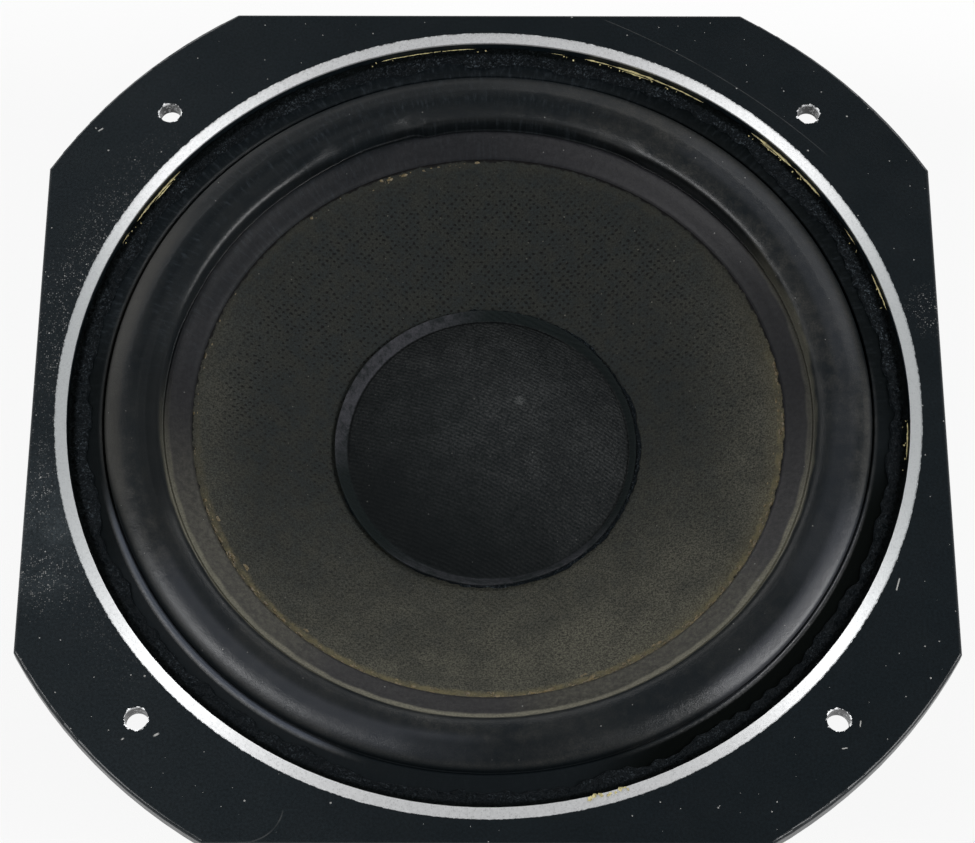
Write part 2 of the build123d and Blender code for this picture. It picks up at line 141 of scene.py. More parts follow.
def power_property(name, description, default):
    """A lamp's power that a user may change."""
    return bpy.props.FloatProperty(name=name, description=description, default=default, unit="POWER")


class CastingSettings(bpy.types.PropertyGroup):
    """Paint and bare metal of the casting."""

    paint: colour_property("Paint", "Satin black paint", (0.0046, 0.0074, 0.0094))
    metal: colour_property("Metal", "Bare turned aluminium", (0.91, 0.92, 0.93))
    # Painted shade: this colour darkens the bare ring at its left and right sides, where it reflects less
    # light
    painted_ring_side_shade: colour_property("Tarnish", "Dulled metal at the ring's sides", (0.58, 0.62, 0.63))
    dust: colour_property("Dust", "Pale dust on the paint", (0.34, 0.34, 0.33))
    veil: colour_property("Veil", "Thin film of dust on the left", (0.28, 0.33, 0.36))
    chip_width: length_property("Chip width", "Paint missing round a bolt hole", 0.03 * MM)
    ragged_edge: length_property("Ragged edge", "How far the ring's paint edge wanders", 0.14 * MM)


class SurroundSettings(bpy.types.PropertyGroup):
    """Shape and rubber of the surround."""

    thickness: length_property("Thickness", "Wall of the rubber", 1.0 * MM)
    flange_width: length_property("Flange width", "Flat outer flange", 7.9 * MM)
    gutter_width: length_property("Gutter width", "Groove between flange and roll", 1.2 * MM)
    gutter_depth: length_property("Gutter depth", "Drop of that groove", 0.6 * MM)
    ridge_height: length_property("Ridge height", "Moulded ridge round the gutter", 1.0 * MM)
    roll_width: length_property("Roll width", "Roll from foot to foot", 13.6 * MM)
    crest_inset: length_property("Crest inset", "Crest from the roll's outer foot", 6.2 * MM)
    crest_drop: length_property("Crest drop", "Crest of the roll below the plate's front", 0.1 * MM)
    inner_width: length_property("Inner flange width", "Flange glued to the cone", 6.5 * MM)
    rubber: colour_property("Rubber", "Black rubber", (0.0060, 0.0082, 0.0100))
    dust: colour_property("Dust", "Grey-brown dust in the rubber's pores", (0.066, 0.062, 0.053))
    # Painted highlight: this paler colour is laid on the roll where the lamps shine on it
    wear_and_painted_highlight: colour_property("Rubbed", "Rubber worn paler by handling", (0.030, 0.033, 0.039))


class ConeSettings(bpy.types.PropertyGroup):
    """Coated weave of the cone."""

    coating: colour_property("Coating", "Olive-grey coating", (0.0215, 0.0235, 0.0200))
    shade: colour_property("Shade", "Cooler patches of the coating", (0.0150, 0.0195, 0.0200))
    tint: colour_property("Tint", "Olive dust on the coating", (0.092, 0.089, 0.068))
    soaked: colour_property("Soaked glue", "Old glue soaked in at the edge", (0.112, 0.096, 0.050))
    dimple: colour_property("Dimple", "Open gaps of the weave", (0.002, 0.002, 0.002))
    dimple_pitch: length_property("Dimple pitch", "Spacing of the gaps along a row", 1.9 * MM)


class CapSettings(bpy.types.PropertyGroup):
    """Cloth and shape of the dust cap."""

    thickness: length_property("Thickness", "Wall of the cap", 0.5 * MM)
    lip_width: length_property("Lip width", "Turned-up lip round the dome", 2.4 * MM)
    lip_lift: length_property("Lip lift", "Lip's rise above the cone's slope", 0.75 * MM)
    dome_rise: length_property("Dome rise", "Height of the dome over its crease", 9.5 * MM)
    cloth: colour_property("Cloth", "Black cloth", (0.0030, 0.0044, 0.0050))
    thread: colour_property("Thread", "Worn threads that catch the light", (0.036, 0.0385, 0.039))
    thread_pitch: length_property("Thread pitch", "Spacing of the cloth's lines", 0.95 * MM)
    thread_angle: angle_property("Thread angle", "Direction across the cloth's lines", 64.3)


class GlueSettings(bpy.types.PropertyGroup):
    """Cured glue."""

    black: colour_property("Black glue", "Rough black adhesive", (0.0030, 0.0054, 0.0074))
    crumb: colour_property("Grey crumbs", "Dried crumbs of the black adhesive", (0.094, 0.116, 0.134))
    yellow: colour_property("Yellow glue", "Old contact glue", (0.66, 0.58, 0.29))
    brown: colour_property("Brown glue", "Old glue at the cone's edge", (0.140, 0.107, 0.052))


class MotorSettings(bpy.types.PropertyGroup):
    """Metal, magnet and terminals behind the cone."""

    plating: colour_property("Plating", "Black-zinc plated steel", (0.055, 0.056, 0.060))
    ferrite: colour_property("Ferrite", "Sintered magnet", (0.055, 0.055, 0.058))
    zinc: colour_property("Zinc", "Bright zinc on fasteners", (0.52, 0.53, 0.55))
    tin: colour_property("Tin", "Tinned brass", (0.66, 0.63, 0.55))
    board: colour_property("Board", "Brown phenolic board", (0.15, 0.066, 0.028))
    copper: colour_property("Copper", "Enamelled copper wire", (0.60, 0.25, 0.10))
    foil: colour_property("Foil", "Aluminium former", (0.72, 0.72, 0.74))
    paper: colour_property("Paper", "Kraft paper", (0.30, 0.19, 0.095))


class SuspensionSettings(bpy.types.PropertyGroup):
    """Spider and tinsel leads."""

    cloth: colour_property("Cloth", "Resin-dipped cloth", (0.33, 0.20, 0.075))
    thickness: length_property("Thickness", "Wall of the spider", 0.5 * MM)
    wave_height: length_property("Wave height", "Height of a wave over the middle", 1.1 * MM)
    flange_width: length_property("Flange width", "Flat outer flange", 5.5 * MM)
    land_width: length_property("Land width", "Flat inner land", 1.5 * MM)
    wave_count: bpy.props.IntProperty(name="Waves", description="Count of waves", default=5, min=1)
    lead: colour_property("Lead", "Copper tinsel", (0.56, 0.31, 0.15))
    lead_radius: length_property("Lead radius", "Outside of the braid", 0.8 * MM)


class StageSettings(bpy.types.PropertyGroup):
    """Camera, lamps and floor."""

    elevation: angle_property("Elevation", "Camera above the horizon", 65.04)
    turn: angle_property("Turn", "Camera round the axis", 0.21)
    tilt: angle_property("Tilt", "Camera about its own axis", -0.07)
    lens: bpy.props.FloatProperty(
        name="Lens", description="Focal length", default=107.85, subtype="DISTANCE_CAMERA"
    )
    place: bpy.props.FloatVectorProperty(
        name="Place", description="Camera's place", default=(0.0009, -0.3014, 0.7242), subtype="TRANSLATION"
    )
    left_power: power_property("Left power", "Front left lamp", 5.8)
    right_power: power_property("Right power", "Front right lamp", 6.9)
    rear_power: power_property("Rear power", "Each rear lamp", 2.0)
    floor: colour_property("Floor", "Pale floor", (0.90, 0.90, 0.90))


class DriverSettings(bpy.types.PropertyGroup):
    """All that a user may change."""

    casting: bpy.props.PointerProperty(type=CastingSettings)
    surround: bpy.props.PointerProperty(type=SurroundSettings)
    cone: bpy.props.PointerProperty(type=ConeSettings)
    cap: bpy.props.PointerProperty(type=CapSettings)
    glue: bpy.props.PointerProperty(type=GlueSettings)
    motor: bpy.props.PointerProperty(type=MotorSettings)
    suspension: bpy.props.PointerProperty(type=SuspensionSettings)
    stage: bpy.props.PointerProperty(type=StageSettings)


class Field:
    """A number that varies over a piece: sums on it become nodes, and a bar takes the greater of two."""

    def __init__(self, finish, socket):
        self.finish = finish
        self.socket = socket

    def __add__(self, other):
        return self.finish.math("ADD", self, other)

    def __sub__(self, other):
        return self.finish.math("SUBTRACT", self, other)

    def __rsub__(self, other):
        return self.finish.math("SUBTRACT", other, self)

    def __mul__(self, other):
        return self.finish.math("MULTIPLY", self, other)

    def __truediv__(self, other):
        return self.finish.math("DIVIDE", self, other)

    def __or__(self, other):
        return self.finish.math("MAXIMUM", self, other)

    def __abs__(self):
        return self.finish.math("ABSOLUTE", self)

    def step(self, low, high, start=0.0, end=1.0):
        """A smooth step from start to end as the number goes from low to high."""
        node = self.finish.add("MapRange", self, low, high, start, end, interpolation_type="SMOOTHSTEP")
        return Field(self.finish, node.outputs["Result"])

    def band(self, low, high, soft):
        """One inside a range and none outside it, with soft edges."""
        return self.step(low - soft, low + soft) * self.step(high - soft, high + soft, 1.0, 0.0)


class Finish:
    """Nodes of one material, with the place on the piece in millimetres."""

    def __init__(self, name):
        self.material = bpy.data.materials.new(name)
        self.material.use_nodes = True
        self.tree = self.material.node_tree
        self.tree.nodes.clear()
        self.output = self.tree.nodes.new("ShaderNodeOutputMaterial")
        coordinates = self.tree.nodes.new("ShaderNodeTexCoord")
        self.place = self.scaled(coordinates.outputs["Object"], 1 / MM)
        self.x, self.y, self.z = self.split(self.place)
        self.radius = self.length(self.x, self.y)

    def feed(self, socket, value):
        """Links a socket, or sets its own value."""
        if isinstance(value, Field):
            value = value.socket
        if isinstance(value, bpy.types.NodeSocket):
            self.tree.links.new(value, socket)
        elif hasattr(value, "__len__") and len(value) == 3 and socket.type == "RGBA":
            socket.default_value = (*value, 1.0)
        elif value is not None:
            socket.default_value = value

    def add(self, kind, *values, **settings):
        """A node with its settings, and its first sockets fed in order."""
        node = self.tree.nodes.new("ShaderNode" + kind)
        for name, value in settings.items():
            setattr(node, name, value)
        for socket, value in zip(node.inputs, values):
            self.feed(socket, value)
        return node

    def feed_by_name(self, node, **values):
        """Feeds the sockets that carry these names."""
        for name, value in values.items():
            self.feed(node.inputs[name.replace("_", " ").title().replace("Ior", "IOR")], value)

    def math(self, operation, *values):
        """A new number from others."""
        return Field(self, self.add("Math", *values, operation=operation).outputs[0])

    def length(self, across, along):
        """Distance over two lengths at right angles."""
        return self.math("SQRT", across * across + along * along)

    def split(self, place):
        """The three parts of a place."""
        return [Field(self, socket) for socket in self.add("SeparateXYZ", place).outputs]

    def scaled(self, place, factor):
        """A place times a factor."""
        node = self.add("VectorMath", place, operation="SCALE")
        node.inputs["Scale"].default_value = factor
        return node.outputs["Vector"]

    def along(self, x_share, y_share):
        """How far a place lies along a direction across the plate."""
        return self.x * x_share + self.y * y_share

    def away(self, x, y):
        """How far a place lies from a point of the plate, seen from the front."""
        return self.length(self.x - x, self.y - y)

    def toward(self, degrees, low, high):
        """One where the bearing is near an angle, by the cosine of what lies between."""
        ahead = self.along(cos(radians(degrees)), sin(radians(degrees)))
        return (ahead / self.radius).step(low, high)

    def patch(self, degrees, low, high, inner, outer, soft):
        """One near a bearing and between two radii."""
        return self.toward(degrees, low, high) * self.radius.band(inner, outer, soft)

    def noise(self, scale, detail=2.0, roughness=0.5, place=None):
        """Cloudy noise with that many features a millimetre."""
        node = self.add("TexNoise")
        self.feed_by_name(node, vector=place or self.place, scale=scale, detail=detail, roughness=roughness)
        return Field(self, node.outputs["Fac"])

    def specks(self, scale, size, share, dimensions="2D"):
        """Sparse round specks: that many cells a millimetre, of which a share holds a speck."""
        node = self.add("TexVoronoi", voronoi_dimensions=dimensions)
        self.feed_by_name(node, vector=self.place, scale=scale)
        chance = self.add("SeparateColor", node.outputs["Color"])
        held = self.math("LESS_THAN", chance.outputs[0], share)
        reach = self.math("MULTIPLY", chance.outputs[1], size * scale)
        return held * self.math("LESS_THAN", node.outputs["Distance"], reach)

    def mix(self, share, first, second):
        """A colour between two."""
        node = self.add("Mix", data_type="RGBA")
        for index, value in ((0, share), (6, first), (7, second)):
            self.feed(node.inputs[index], value)
        return node.outputs[2]

    def blend(self, share, first, second):
        """A number between two."""
        node = self.add("Mix", data_type="FLOAT")
        for index, value in ((0, share), (2, first), (3, second)):
            self.feed(node.inputs[index], value)
        return Field(self, node.outputs[0])

    def bump(self, height, depth, normal=None):
        """A normal from a height, with the depth in millimetres."""
        node = self.add("Bump")
        self.feed_by_name(node, strength=1.0, distance=depth * MM, height=height, normal=normal)
        return node.outputs["Normal"]

    def surface(self, colour, roughness, normal=None, metallic=0.0, **sockets):
        """A principled surface."""
        node = self.add("BsdfPrincipled")
        self.feed_by_name(
            node, base_color=colour, roughness=roughness, normal=normal, metallic=metallic, **sockets
        )
        return node.outputs["BSDF"]

    def over(self, share, first, second):
        """A surface between two."""
        return self.add("MixShader", share, first, second).outputs[0]

    def finish(self, shader):
        """Ends the material with its shader."""
        self.tree.links.new(shader, self.output.inputs["Surface"])
        return self.material


def times(share, colour):
    """A colour made darker or paler by a share."""
    return [share * part for part in colour]


def tangent_round_axis(finish):
    """Direction away from the driver's axis, along which turned metal spreads its highlights."""
    flat = finish.add("CombineXYZ", finish.x, finish.y, 0.0).outputs[0]
    return finish.add("VectorMath", flat, operation="NORMALIZE").outputs["Vector"]


def hairline(finish, centre, radius, width, first, last):
    """A thin curved scratch on the plate, from one place along X to another."""
    off = abs(finish.away(*centre) - radius)
    fade = 1.5
    return off.step(width * 0.4, width, 1.0, 0.0) * finish.x.band(first, last, fade)


def nick(finish, start, end, width):
    """A short straight mark on the plate, from one place to another."""
    reach = hypot(end[0] - start[0], end[1] - start[1])
    ahead_x, ahead_y = (end[0] - start[0]) / reach, (end[1] - start[1]) / reach
    along = finish.along(ahead_x, ahead_y) - (start[0] * ahead_x + start[1] * ahead_y)
    across = finish.along(-ahead_y, ahead_x) - (start[1] * ahead_x - start[0] * ahead_y)
    return abs(across).step(width * 0.4, width, 1.0, 0.0) * along.band(0.0, reach, width)


def casting_finish(settings):
    """Satin black paint on the casting, with bare turned metal on the ring and chips round the bolt holes."""
    finish = Finish("painted_casting")
    front = FRONT / MM
    ring_inner = RECESS_RADIUS / MM
    ring_outer = ring_inner + LAND_WIDTH / MM
    hole_offset = BOLT_OFFSET / MM
    hole = BOLT_RADIUS / MM

    # Bare metal: the turned land, then the chips and walls of the bolt holes
    ragged = finish.noise(0.9, 3.0, 0.65) - 0.5
    edge = finish.radius + ragged * (4 * settings.ragged_edge / MM)
    land = finish.radius.step(ring_inner - 0.12, ring_inner + 0.02)
    land *= edge.step(ring_outer - 0.12, ring_outer + 0.12, 1.0, 0.0)
    on_front = finish.z.step(front - 0.9, front - 0.5)
    from_hole = finish.length(abs(finish.x) - hole_offset, abs(finish.y) - hole_offset)
    chip_edge = from_hole - (finish.noise(0.5, 4.0, 0.72) - 0.5) * 3.0
    chip_limit = hole + settings.chip_width / MM
    chips = chip_edge.step(chip_limit - 0.08, chip_limit + 0.08, 1.0, 0.0)
    chips *= from_hole.step(hole + 0.7, hole + 1.0, 1.0, 0.0)
    walls = finish.noise(1.2, 3.0, 0.7).step(0.45, 0.7, 0.0, 0.5)
    bare = land * on_front | chips * finish.blend(on_front, walls, 1.0)

    # Dust: powder at the sides, stray specks, hairlines and nicks
    beside_ring = finish.radius.step(ring_outer, ring_outer + 13.0, 1.0, 0.0)
    fallen = beside_ring * finish.x.step(-70.0, -105.0) * finish.y.step(-2.0, 16.0, 0.4, 1.0)
    for x, y, reach in ((-103.0, -46.0, 13.0), (108.5, 25.0, 9.0), (-107.0, -25.0, 13.0)):
        fallen |= finish.away(x, y).step(2.0, reach, 0.9, 0.0)
    powder = finish.specks(2.3, 0.19, 0.35) | finish.specks(1.3, 0.22, 0.16)
    loose = finish.noise(0.5, 4.0, 0.7).step(0.38, 0.62, 0.05, 0.55)
    stray = finish.specks(0.1, 0.24, 0.6) | finish.specks(0.23, 0.18, 0.2)
    specks = stray * 0.7 | powder * (fallen * loose)
    long_scratch = hairline(finish, (-51.0, -61.6), radius=188.2, width=0.14, first=30.0, last=84.0)
    short_scratch = hairline(finish, (-55.0, -101.0), radius=8.9, width=0.22, first=-56.0, last=-46.0)
    scratches = long_scratch | short_scratch * finish.y.step(-102.0, -103.0)
    marks = scratches * finish.noise(0.25, 2.0).step(0.3, 0.6, 0.3, 1.0) * 0.10
    for start, end, width in (
        ((96.5, -45.6), (95.6, -48.6), 0.20),
        ((-98.4, 75.2), (-97.3, 76.0), 0.24),
        ((-99.2, 76.2), (-98.95, 75.9), 0.20),
        ((-76.3, -84.8), (-75.3, -84.2), 0.32),
        ((-83.7, -85.7), (-83.2, -85.4), 0.22),
        ((85.6, -80.8), (85.4, -82.2), 0.18),
        ((81.0, -87.5), (82.2, -87.3), 0.18),
    ):
        marks |= nick(finish, start, end, width)
    upward = finish.z.step(front - 0.9, front - 0.4)
    dusty = (specks | marks) * upward

    # Paint: mottled satin with fine pores, and a thin veil of dust over its left
    paint = finish.mix(finish.noise(0.05, 3.0, 0.6), settings.paint, times(1.5, settings.paint))
    pores = finish.noise(1.5, 5.0, 0.8)
    paint = finish.mix(pores.step(0.34, 0.66, 0.6, 0.0), paint, times(0.35, settings.paint))
    haze = finish.away(-105.5, -33.0).step(6.0, 24.0, 0.045, 0.0)
    haze *= finish.noise(0.12, 4.0, 0.65).step(0.35, 0.65, 0.5, 1.3)
    veil = (finish.x.step(20.0, -105.0, 0.0, 0.015) + haze) * upward
    veil *= pores.step(0.3, 0.7, 0.5, 1.5)
    colour = finish.mix(dusty, finish.mix(veil, paint, settings.veil), settings.dust)
    grain = finish.bump(finish.noise(1.6, 3.0, 0.55), 0.028)
    satin = finish.blend(finish.noise(0.12, 3.0), 0.27, 0.38)
    painted = finish.surface(colour, satin, grain, specular_ior_level=0.30)

    # Turned aluminium: fine circular marks and dark pits, and painted shade on the ring's left and right
    # sides
    marks_round = finish.add("CombineXYZ", finish.radius, 0.0, 0.0).outputs[0]
    scored = finish.bump(finish.noise(9.0, 2.0, 0.6, marks_round), 0.002)
    mottle = finish.noise(1.3, 3.0, 0.6).step(0.3, 0.75)
    metal = finish.mix(mottle, settings.metal, times(0.88, settings.metal))
    metal = finish.mix(finish.specks(2.2, 0.22, 0.45) * 0.22, metal, (0.30, 0.30, 0.31))
    metal = finish.mix(abs(finish.x).step(78.0, 103.0, 0.0, 0.6), metal, settings.painted_ring_side_shade)
    tangent = tangent_round_axis(finish)
    turned_metal = finish.surface(metal, 0.57, scored, metallic=0.62, anisotropic=0.9, tangent=tangent)
    return finish.finish(finish.over(bare, painted, turned_metal))


def surround_finish(settings):
    """Satin black rubber: dusty on its roll with painted highlights where the lamps shine, painted shade in
    its groove and shaded parts, black outside, greyed next to the cone.
    """
    finish = Finish("surround_rubber")
    radius, x, y = finish.radius, finish.x, finish.y
    near = y.step(15.0, -35.0)

    # Roll: a film of dust, heaviest in the gutter, and paler patches that are painted highlights where the
    # lamps shine on it
    # Painted shade: the groove at the roll's inner foot is darkened and kept free of dust
    groove = finish.blend(y.step(74.0, 77.5), radius.band(78.8, 79.3, 0.35), radius.band(78.5, 80.1, 0.4))
    groove *= x.step(-60.0, -36.0)
    groove *= y.step(18.0, 48.0)
    fine = finish.noise(2.4, 5.0, 0.75)
    bloom = finish.noise(0.05, 4.0, 0.65).step(0.36, 0.70)
    clouds = finish.noise(0.28, 5.0, 0.72).step(0.38, 0.70)
    film = bloom * 0.15 + clouds * 0.15 + radius.band(90.6, 92.2, 0.6) * 0.16
    upper_right = finish.along(0.85, 0.53).step(45.0, 82.0)
    lower_left = finish.along(0.55, 0.83).step(-45.0, -82.0)
    sides = (upper_right | lower_left) * 0.75 + 0.4
    dusty = film * sides * fine.step(0.3, 0.72, 0.3, 1.6) * (1.0 - groove)
    rubber = finish.mix(groove, settings.rubber, (0.0030, 0.0026, 0.0020))
    colour = finish.mix(dusty, rubber, settings.dust)
    # Painted highlights: paler patches of the roll at the bearings where the lamps shine
    for degrees, low, high, inner, rim, share in (
        (325.0, 0.92, 0.98, 88.0, 93.6, 0.95),
        (345.0, 0.93, 0.98, 83.0, 88.6, 0.3),
        (238.0, 0.82, 0.92, 84.5, 90.8, 0.75),
        (30.0, 0.86, 0.95, 84.5, 90.8, 0.45),
    ):
        wear_and_painted_highlight = finish.patch(degrees, low, high, inner, rim, 1.2)
        colour = finish.mix(wear_and_painted_highlight * share, colour, settings.wear_and_painted_highlight)
    # Painted highlight: the brightest spot of the lamp's reflection at the near right
    painted_highlight_spot = finish.patch(320.0, 0.95, 0.995, 89.4, 92.6, 0.8)
    colour = finish.mix(painted_highlight_spot * 0.8, colour, (0.062, 0.064, 0.070))
    # Painted highlight: a dust-coloured band on the roll's outer shoulder at the left
    brushing_and_painted_highlight = finish.patch(172.0, 0.86, 0.95, 89.0, 93.4, 1.2)
    colour = finish.mix(brushing_and_painted_highlight * 0.28, colour, settings.dust)

    # Inner flange: matt, bluish grey on the far side and olive with dust on the near side, paler at two near
    # bearings from dust and a painted highlight where the rear lamps shine
    flange = radius.step(77.9, 78.8, 1.0, 0.0)
    pores = finish.noise(0.9, 5.0, 0.75).step(0.36, 0.66)
    cool = finish.mix(pores, (0.0050, 0.0048, 0.0068), (0.0130, 0.0126, 0.0150))
    olive = finish.mix(pores, (0.0172, 0.0164, 0.0122), (0.0485, 0.0465, 0.0350))
    dust_and_painted_highlight = finish.toward(208.0, 0.80, 0.95) | finish.toward(302.0, 0.84, 0.97)
    colour = finish.mix(flange, colour, finish.mix(near * (dust_and_painted_highlight * 0.92 | 0.14), cool, olive))
    wavy = radius + (finish.noise(0.12, 2.0) - 0.5) * 1.6
    bead = wavy.band(77.4, 79.4, 0.4) * (near | finish.toward(12.0, 0.90, 0.98) * 0.45)
    colour = finish.mix(bead * fine.step(0.3, 0.7, 0.35, 1.0), colour, (0.150, 0.143, 0.106))
    colour = finish.mix(finish.specks(0.16, 0.18, 0.4), colour, (0.16, 0.16, 0.155))

    # A moulded ridge at the near left, with a painted highlight along it
    shining = finish.along(0.74, 0.67).step(-80.0, -88.0)
    ridge = radius.band(92.5, 94.6, 0.4) * shining
    painted_ridge_highlight = radius.band(92.5, 94.2, 0.45) * (shining * 0.72)
    colour = finish.mix(painted_ridge_highlight, colour, (0.060, 0.070, 0.090))

    # Worn rubber is satin, and matt under dust, on the far side and on the walls of the roll
    far_side = y.step(-10.0, 45.0) * radius.band(88.0, 92.5, 1.0)
    left_wall = finish.patch(180.0, 0.88, 0.97, 79.6, 83.0, 0.6)
    upper_wall = x.step(0.0, -30.0) * radius.band(82.0, 84.8, 0.8)
    matt = far_side * 0.9 | flange * 0.5 | upper_wall * 0.4 | left_wall * 0.8
    skin = finish.bump(finish.noise(2.6, 4.0, 0.7), 0.06)
    skin = finish.bump(finish.noise(0.35, 3.0, 0.55), 0.10, skin)
    worn = finish.surface(colour, finish.blend(dusty | matt, 0.30, 0.72), skin, specular_ior_level=0.31)

    # Black rubber free of dust on the outer flange, and painted shade: that dark, barely shiny rubber laid
    # over parts of the roll and the inner flange that fall in shade
    black_starts_further_out = finish.toward(328.0, 0.75, 0.85) | finish.toward(158.0, 0.74, 0.90)
    clean_and_painted_shade = finish.blend(black_starts_further_out, radius.step(89.3, 92.9), radius.step(93.2, 94.4)) * (1.0 - ridge)
    far_flange = flange * (1.0 - near) * finish.along(0.50, 0.87).step(62.0, 74.0, 1.0, 0.3)
    near_wall = finish.toward(325.0, 0.80, 0.95) | finish.toward(228.0, 0.85, 0.95)
    # Painted shade: the roll's walls, a patch of its crest, its groove and the far inner flange take the dark
    # rubber where they lie in shade
    for zone, share in (
        (left_wall, 0.75),
        (upper_wall, 0.5),
        (near_wall * radius.band(79.4, 81.8, 0.6), 0.5),
        (finish.patch(118.0, 0.97, 0.995, 79.4, 83.0, 0.8), 0.7),
        (groove, 0.7),
        (far_flange, 0.42),
        (far_flange * finish.along(-0.71, 0.71).step(63.0, 71.0), 0.62),
        (finish.patch(115.0, 0.83, 0.96, 87.0, 90.4, 1.2), 0.6),
        (finish.along(-0.50, 0.87).step(30.0, 70.0) * radius.band(83.4, 86.6, 2.0), 0.85),
        (finish.patch(270.0, 0.965, 0.99, 85.8, 92.0, 1.2), 0.6),
    ):
        clean_and_painted_shade |= zone * share
    streaks = finish.add("CombineXYZ", radius * 0.25, finish.math("ARCTAN2", y, x) * 80.0, 0.0).outputs[0]
    smears = finish.noise(1.0, 5.0, 0.75, streaks).step(0.48, 0.70) * y.step(-20.0, 40.0, 0.12, 1.0)
    smeared = finish.mix(smears, (0.0030, 0.0050, 0.0064), (0.0180, 0.0230, 0.0275))
    black = finish.surface(smeared, 0.6, skin, specular_ior_level=0.08)
    pure_black = finish.surface((0.0012, 0.0018, 0.0016), 0.6, skin, specular_ior_level=0.02)
    # Nearly black, barely shiny rubber, most at the near right and in part at two other bearings
    blackest_zone = finish.along(0.76, -0.65).step(74.0, 88.0)
    blackest_zone |= finish.toward(32.0, 0.70, 0.90) * 0.55
    blackest_zone |= finish.toward(188.0, 0.93, 0.98) * 0.55
    return finish.finish(finish.over(clean_and_painted_shade, worn, finish.over(blackest_zone, black, pure_black)))


def black_glue_finish(settings, name, gloss):
    """Crumbly black glue with grey crumbs in patches, and painted shade beside the recess wall."""
    finish = Finish(name)
    lumps = finish.noise(1.1, 6.0, 0.75)
    crumbs = finish.noise(2.2, 4.0, 0.75)
    patches = finish.noise(0.07, 3.0, 0.6).step(0.40, 0.66, 0.25, 1.0)
    greyed = lumps.step(0.51, 0.58) * crumbs.step(0.52, 0.60)
    greyed = greyed * (patches * finish.y.step(-70.0, 20.0, 0.4, 1.0))
    colour = finish.mix(greyed, settings.black, settings.crumb)
    rough = finish.blend(finish.noise(0.7, 3.0), gloss, gloss + 0.3)
    skin = finish.bump(lumps + crumbs * 0.6, 0.9)
    glue = finish.surface(colour, rough, skin, specular_ior_level=0.11)
    # Painted shade: a near-black, barely shiny surface beside the recess wall
    shaded = finish.surface((0.0010, 0.0020, 0.0018), rough, skin, specular_ior_level=0.03)
    beside_wall = finish.radius.step(99.2, 100.2, 0.0, 0.8)
    return finish.finish(finish.over(beside_wall, glue, shaded))


def weave_gaps(finish, pitch):
    """Dark spots at the gaps of a staggered weave, each with its own size and strength."""
    stray = finish.add("TexNoise", finish.place)
    stray.inputs["Scale"].default_value = 0.55
    shift = finish.add("VectorMath", stray.outputs["Color"], (0.5, 0.5, 0.5), operation="SUBTRACT").outputs[0]
    moved = finish.add("VectorMath", finish.place, finish.scaled(shift, 0.9), operation="ADD").outputs[0]
    x, y, _ = finish.split(moved)
    row = y / (pitch / 2)
    row_number = finish.math("FLOOR", row)
    odd = finish.math("MODULO", abs(row_number), 2.0)
    column = x / pitch + odd * 0.5
    across = finish.math("FRACT", column) - 0.5
    along = (finish.math("FRACT", row) - 0.5) * 0.75
    cell = finish.add("CombineXYZ", finish.math("FLOOR", column), row_number, 0.0).outputs[0]
    chance = Field(finish, finish.add("TexWhiteNoise", cell, noise_dimensions="2D").outputs["Value"])
    size = finish.blend(chance, 0.15, 0.29)
    spot = (finish.length(across, along) / size).step(0.40, 1.05, 1.0, 0.0)
    return spot * chance.step(0.0, 0.6, 0.35, 1.0)


def cone_finish(settings):
    """Coated weave: dark gaps where the coating is thin, olive with dust towards its lower edge, with a
    painted highlight at the lower right.
    """
    finish = Finish("cone_weave")
    radius, x, y = finish.radius, finish.x, finish.y
    lower = finish.along(0.25, -1.0)

    # Dust lies heaviest at the lower edge, and along the right and left ones, and a painted highlight raises
    # the olive tint at the lower right
    right_side = x.step(20.0, 60.0) * y.step(62.0, -12.0)
    right = radius.step(46.0, 70.0, 0.0, 0.85) * right_side
    left = radius.step(54.0, 72.0, 0.0, 0.42) * x.step(-35.0, -60.0) * y.step(42.0, 10.0)
    patchy = finish.noise(0.08, 5.0, 0.7).step(0.3, 0.7, 0.55, 1.15)
    dusted = (lower.step(-10.0, 85.0) | (right | left)) * patchy
    painted_lower_right_highlight = finish.toward(305.0, 0.88, 0.98) * radius.step(42.0, 62.0, 0.0, 0.3)
    dusted *= painted_lower_right_highlight + 1.0
    hue = finish.noise(0.22, 4.0, 0.75).step(0.38, 0.62)
    colour = finish.mix(dusted, finish.mix(hue, settings.coating, settings.shade), settings.tint)
    grain = finish.noise(2.5, 4.0, 0.75)
    colour = finish.mix(grain.step(0.36, 0.64, 0.9, 0.0), colour, times(0.35, settings.coating))
    colour = finish.mix(finish.specks(0.22, 0.18, 0.4), colour, (0.09, 0.088, 0.075))

    # Gaps of the weave show most towards the far side, and are filled at the edge
    thin = (finish.noise(0.05, 3.0, 0.6) + finish.along(-0.0012, 0.0068)).step(0.26, 0.84, 0.42, 0.95)
    gaps = weave_gaps(finish, settings.dimple_pitch / MM) * (thin * radius.step(62.0, 72.0, 1.0, 0.35))
    colour = finish.mix(gaps, colour, settings.dimple)

    # Old glue has soaked in along the surround's flange, and the seam itself is dark, a glue line with
    # painted shadow
    edge = FLANGE_INNER_EDGE / MM
    ragged = radius + (finish.noise(0.45, 4.0, 0.7) - 0.5) * 2.4
    soaked = ragged.step(edge - 2.5, edge - 1.1) * lower.step(-25.0, 40.0, 0.05, 0.82)
    soaked *= finish.noise(0.3, 4.0, 0.7).step(0.38, 0.62, 0.4, 1.0)
    stained = ragged.step(edge - 6.0, edge - 0.6, 0.0, 0.2) * right_side
    colour = finish.mix(soaked | stained, colour, settings.soaked)
    colour = finish.mix(ragged.step(edge - 0.25, edge + 0.05), colour, settings.dimple)
    skin = finish.bump(grain * 0.8 - gaps, 0.12)
    return finish.finish(finish.surface(colour, 0.66, skin, specular_ior_level=0.14))


